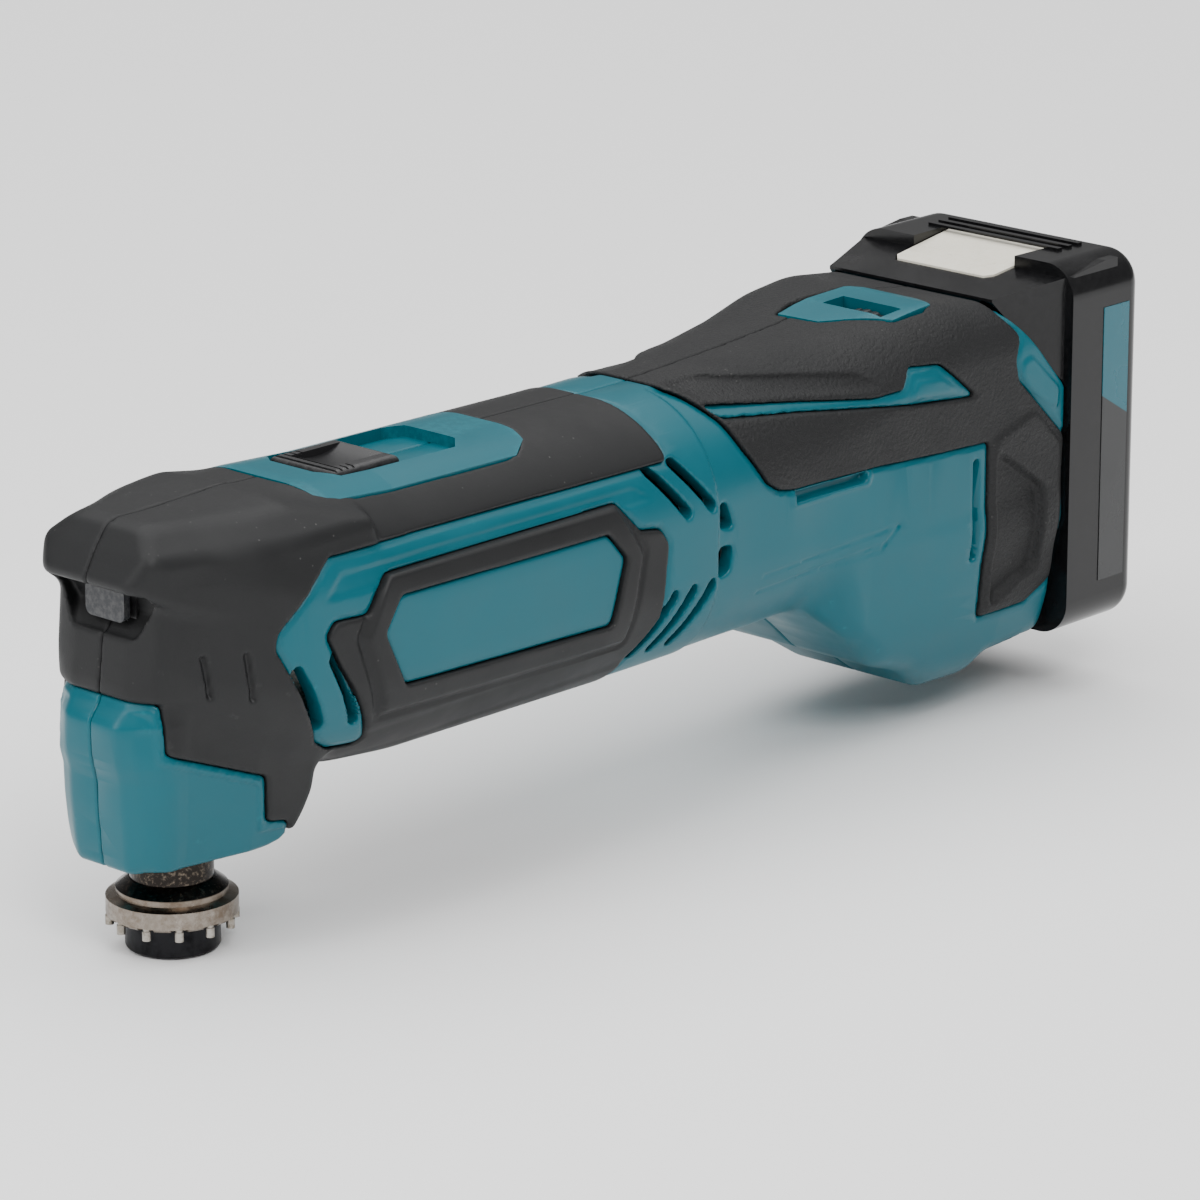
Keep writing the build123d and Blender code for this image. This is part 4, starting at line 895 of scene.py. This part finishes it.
def teal_plastic():
    return plastic("satin teal plastic", (0.0, 0.092, 0.122, 1), (0.01, 0.18, 0.22, 1),
                   roughness=0.36, mottle=0.04, grain=(1800, 0.10, 0.00003), wear=0.35,
                   specular=0.3)


def soft_black():
    return plastic("grained black elastomer", (0.0085, 0.0088, 0.0094, 1), (0.03, 0.03, 0.031, 1),
                   roughness=0.52, mottle=0.10, grain=(2600, 0.4, 0.00006), dust=0.16, wear=0.4,
                   specular=0.3)


def grained_black():
    return plastic("coarse grained elastomer", (0.0085, 0.0088, 0.0094, 1), (0.03, 0.03, 0.031, 1),
                   roughness=0.55, mottle=0.10, grain=(1300, 0.9, 0.0004), dust=0.15, wear=0.4,
                   specular=0.3)


def glossy_black():
    return plastic("gloss black plastic", (0.0035, 0.0035, 0.004, 1), (0.02, 0.02, 0.021, 1),
                   roughness=0.2, mottle=0.05, grain=(900, 0.03, 0.00002), wear=0.25, specular=0.32)


def cream_plastic():
    return plastic("cream button plastic", (0.80, 0.76, 0.64, 1), (0.88, 0.86, 0.78, 1),
                   roughness=0.32, mottle=0.03, grain=(1500, 0.06, 0.00003), wear=0.4)


def black_plastic():
    return plastic("black plastic", (0.012, 0.012, 0.013, 1), (0.05, 0.05, 0.052, 1),
                   roughness=0.34, mottle=0.06, grain=(1800, 0.12, 0.00003), wear=0.5)


def height_mask(tree, low, high, lean=0.0):
    """0 below a height and 1 above it, in millimetres; lean tilts the line along X."""
    parts = tree.nodes.new("ShaderNodeSeparateXYZ")
    tree.links.new(place(tree), parts.inputs[0])
    height = parts.outputs["Z"]
    if lean:
        height = maths(tree, "ADD", height, maths(tree, "MULTIPLY", parts.outputs["X"], lean))
    return spread(tree, height, low * MM, high * MM)


def flange_metal():
    """Tarnished ring below; cone and neck above a set height much darker and mottled."""
    material = metal("tarnished nickel", (0.235, 0.20, 0.165, 1), (0.15, 0.115, 0.085, 1),
                     0.27, wear=0.12)
    tree = material.node_tree
    shader = tree.nodes["Principled BSDF"]
    bright = shader.inputs["Base Color"].links[0].from_socket
    speckle = noise(tree, 1400, 5.0, 0.7, place(tree))
    # much darker mottled colour that the cone and neck above the height mask take
    dark_neck_mottle = mixed(tree, spread(tree, speckle.outputs["Fac"], 0.52, 0.7), (0.022, 0.019, 0.017, 1),
                 (0.16, 0.13, 0.10, 1))
    above = height_mask(tree, ring_low.z + 5.1, ring_low.z + 5.4)
    tree.links.new(mixed(tree, above, bright, dark_neck_mottle), shader.inputs["Base Color"])
    return material


def label_film():
    """Printed film: teal at the top, dark grey below a slanted line."""
    material = plastic("label film", (0.012, 0.013, 0.014, 1), (0.03, 0.03, 0.03, 1),
                       roughness=0.3, grain=(900, 0.02, 0.00001), wear=0.0)
    tree = material.node_tree
    shader = tree.nodes["Principled BSDF"]
    grey = shader.inputs["Base Color"].links[0].from_socket
    line = case_low.z + 45.6 + 0.6 * (rear_low.x + rear_high.x) / 2
    above = height_mask(tree, line - 0.1, line + 0.1, 0.6)
    tree.links.new(mixed(tree, above, grey, (0.0, 0.10, 0.135, 1)), shader.inputs["Base Color"])
    return material


def make_materials():
    return {
        "teal": teal_plastic(),
        "soft": soft_black(),
        "grained": grained_black(),
        "gloss": glossy_black(),
        "cream": cream_plastic(),
        "black": black_plastic(),
        "flange": flange_metal(),
        "label": label_film(),
        "steel": metal("ground steel", (0.62, 0.60, 0.57, 1), (0.45, 0.42, 0.38, 1), 0.24),
        "bolt": metal("black oxide", (0.022, 0.022, 0.024, 1), (0.012, 0.012, 0.013, 1), 0.42,
                      wear=0.0),
        "pin": metal("dull pin steel", (0.36, 0.33, 0.29, 1), (0.20, 0.17, 0.13, 1), 0.35,
                     wear=0.2),
        "alloy": metal("cast alloy", (0.50, 0.47, 0.42, 1), (0.34, 0.30, 0.24, 1), 0.45),
        "copper": metal("copper winding", (0.72, 0.36, 0.20, 1), (0.45, 0.20, 0.10, 1), 0.35),
        "board": plastic("circuit board", (0.02, 0.14, 0.06, 1), (0.1, 0.3, 0.15, 1), 0.35),
        "felt": plastic("oiled felt", (0.05, 0.045, 0.04, 1), (0.09, 0.08, 0.07, 1), 0.9,
                        grain=(3000, 1.0, 0.0002)),
        "lead": plastic("red lead sleeve", (0.30, 0.02, 0.02, 1), (0.5, 0.1, 0.1, 1), 0.45),
        "cell": plastic("cell sleeve", (0.03, 0.16, 0.10, 1), (0.1, 0.3, 0.2, 1), 0.3),
        "lens": plastic("smoked lens", (0.03, 0.032, 0.036, 1), (0.1, 0.1, 0.1, 1), 0.2,
                        specular=0.25),
    }


NODE_FINISH = {
    "drive_flange": "flange", "flange_pins": "pin", "clamp_bolt": "bolt", "dust_seal": "felt",
    "gear_case": "alloy", "output_spindle": "steel", "lower_bearing": "steel",
    "upper_bearing": "steel", "fork_lever": "steel", "eccentric_bush": "steel",
    "drive_bearing": "steel", "cooling_fan": "black", "motor_can": "alloy",
    "field_magnets": "bolt", "armature_core": "steel", "armature_coils": "copper",
    "motor_shaft": "steel", "commutator": "copper", "carbon_brushes": "bolt",
    "motor_end_bell": "black", "motor_front_bearing": "steel", "motor_rear_bearing": "steel",
    "slide_switch": "black", "switch_link": "black", "power_switch": "black",
    "speed_dial": "black", "speed_potentiometer": "black", "controller_board": "board",
    "lamp_board": "black", "lamp_lens": "lens", "terminal_block": "black",
    "terminal_blades": "copper", "internal_leads": "lead", "battery_front_case": "gloss",
    "battery_rear_case": "gloss", "battery_cells": "cell", "battery_board": "board",
    "battery_contacts": "copper", "battery_button": "cream", "battery_button_spring": "steel",
    "battery_screws": "steel", "battery_labels": "label", "battery_top_ribs": "gloss",
    "housing_screws": "steel", "switch_bezel": "teal", "dial_plate": "teal",
}


def finish_nodes(materials):
    """Give every CAD node its material."""
    for name, finish in NODE_FINISH.items():
        mesh = nodes[name].data
        mesh.materials.clear()
        mesh.materials.append(materials[finish])
        mesh.shade_smooth()
        mesh.set_sharp_from_angle(angle=math.radians(35))


def housing_finish(name):
    """Material and slot of a piece of the housing."""
    if "grip" not in name:
        return "teal", "shell_plastic"
    return ("grained" if "rear" in name else "soft"), "soft_grip"


def dress(piece, material):
    """Give a piece its one material."""
    piece.data.materials.clear()
    piece.data.materials.append(material)


# ---------------------------------------------------------------------------
# Studio
# ---------------------------------------------------------------------------

def add_camera():
    camera = bpy.data.objects.new("camera", bpy.data.cameras.new("camera"))
    bpy.context.scene.collection.objects.link(camera)
    yaw, pitch = math.radians(47.21), math.radians(16.88)
    level = math.cos(pitch)
    forward = Vector((math.sin(yaw) * level, math.cos(yaw) * level, -math.sin(pitch)))
    camera.location = (-0.6908, -0.7447, 0.3660)
    camera.rotation_euler = forward.to_track_quat("-Z", "Y").to_euler()
    camera.data.sensor_width = 36.0
    camera.data.lens = 178.6
    camera.data.clip_start = 0.01
    bpy.context.scene.camera = camera


def add_light(name, place_at, size, power, aim):
    lamp = bpy.data.lights.new(name, "AREA")
    lamp.shape = "RECTANGLE"
    lamp.size, lamp.size_y = size
    lamp.energy = power
    light = bpy.data.objects.new(name, lamp)
    light.location = place_at
    light.rotation_euler = (Vector(aim) - Vector(place_at)).to_track_quat("-Z", "Y").to_euler()
    bpy.context.scene.collection.objects.link(light)


def add_studio():
    floor_z = min(shell_low.z, node_box("clamp_bolt")[0].z) * MM
    bpy.ops.mesh.primitive_plane_add(size=8.0, location=(0.1, 0, floor_z - 0.0002))
    floor = bpy.context.object
    floor.name = "studio_floor"
    material, tree, shader = new_material("pale floor")
    tint = noise(tree, 6.0, 2.0)
    tree.links.new(mixed(tree, tint.outputs["Fac"], (0.95, 0.95, 0.95, 1), (0.97, 0.97, 0.97, 1)),
                   shader.inputs["Base Color"])
    shader.inputs["Roughness"].default_value = 0.7
    dress(floor, material)
    world = bpy.data.worlds.new("studio")
    bpy.context.scene.world = world
    world.use_nodes = True
    world.node_tree.nodes["Background"].inputs["Color"].default_value = (1, 1, 1, 1)
    world.node_tree.nodes["Background"].inputs["Strength"].default_value = 0.3
    aim = (0.1, 0, 0.05)
    add_light("ceiling", (0.3, 0.3, 2.4), (4.5, 4.5), 150.0, (0.3, 0.3, 0))
    add_light("key", (-0.35, -0.8, 0.85), (0.45, 0.45), 7.0, aim)
    add_light("edge", (-0.9, 0.25, 0.5), (0.4, 0.6), 4.0, aim)


# ---------------------------------------------------------------------------
# Build
# ---------------------------------------------------------------------------

add_camera()
materials = make_materials()
finish_nodes(materials)
add_studio()

for side_sign in (-1, 1):
    for node_name, piece in housing_half(side_sign).items():
        finish, slot = housing_finish(node_name)
        dress(piece, materials[finish])
        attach(piece, "housing")
        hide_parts(node_name)

wheel = dial_wheel()
dress(wheel, materials["black"])
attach(wheel, "speed_dial")
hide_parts("speed_dial")
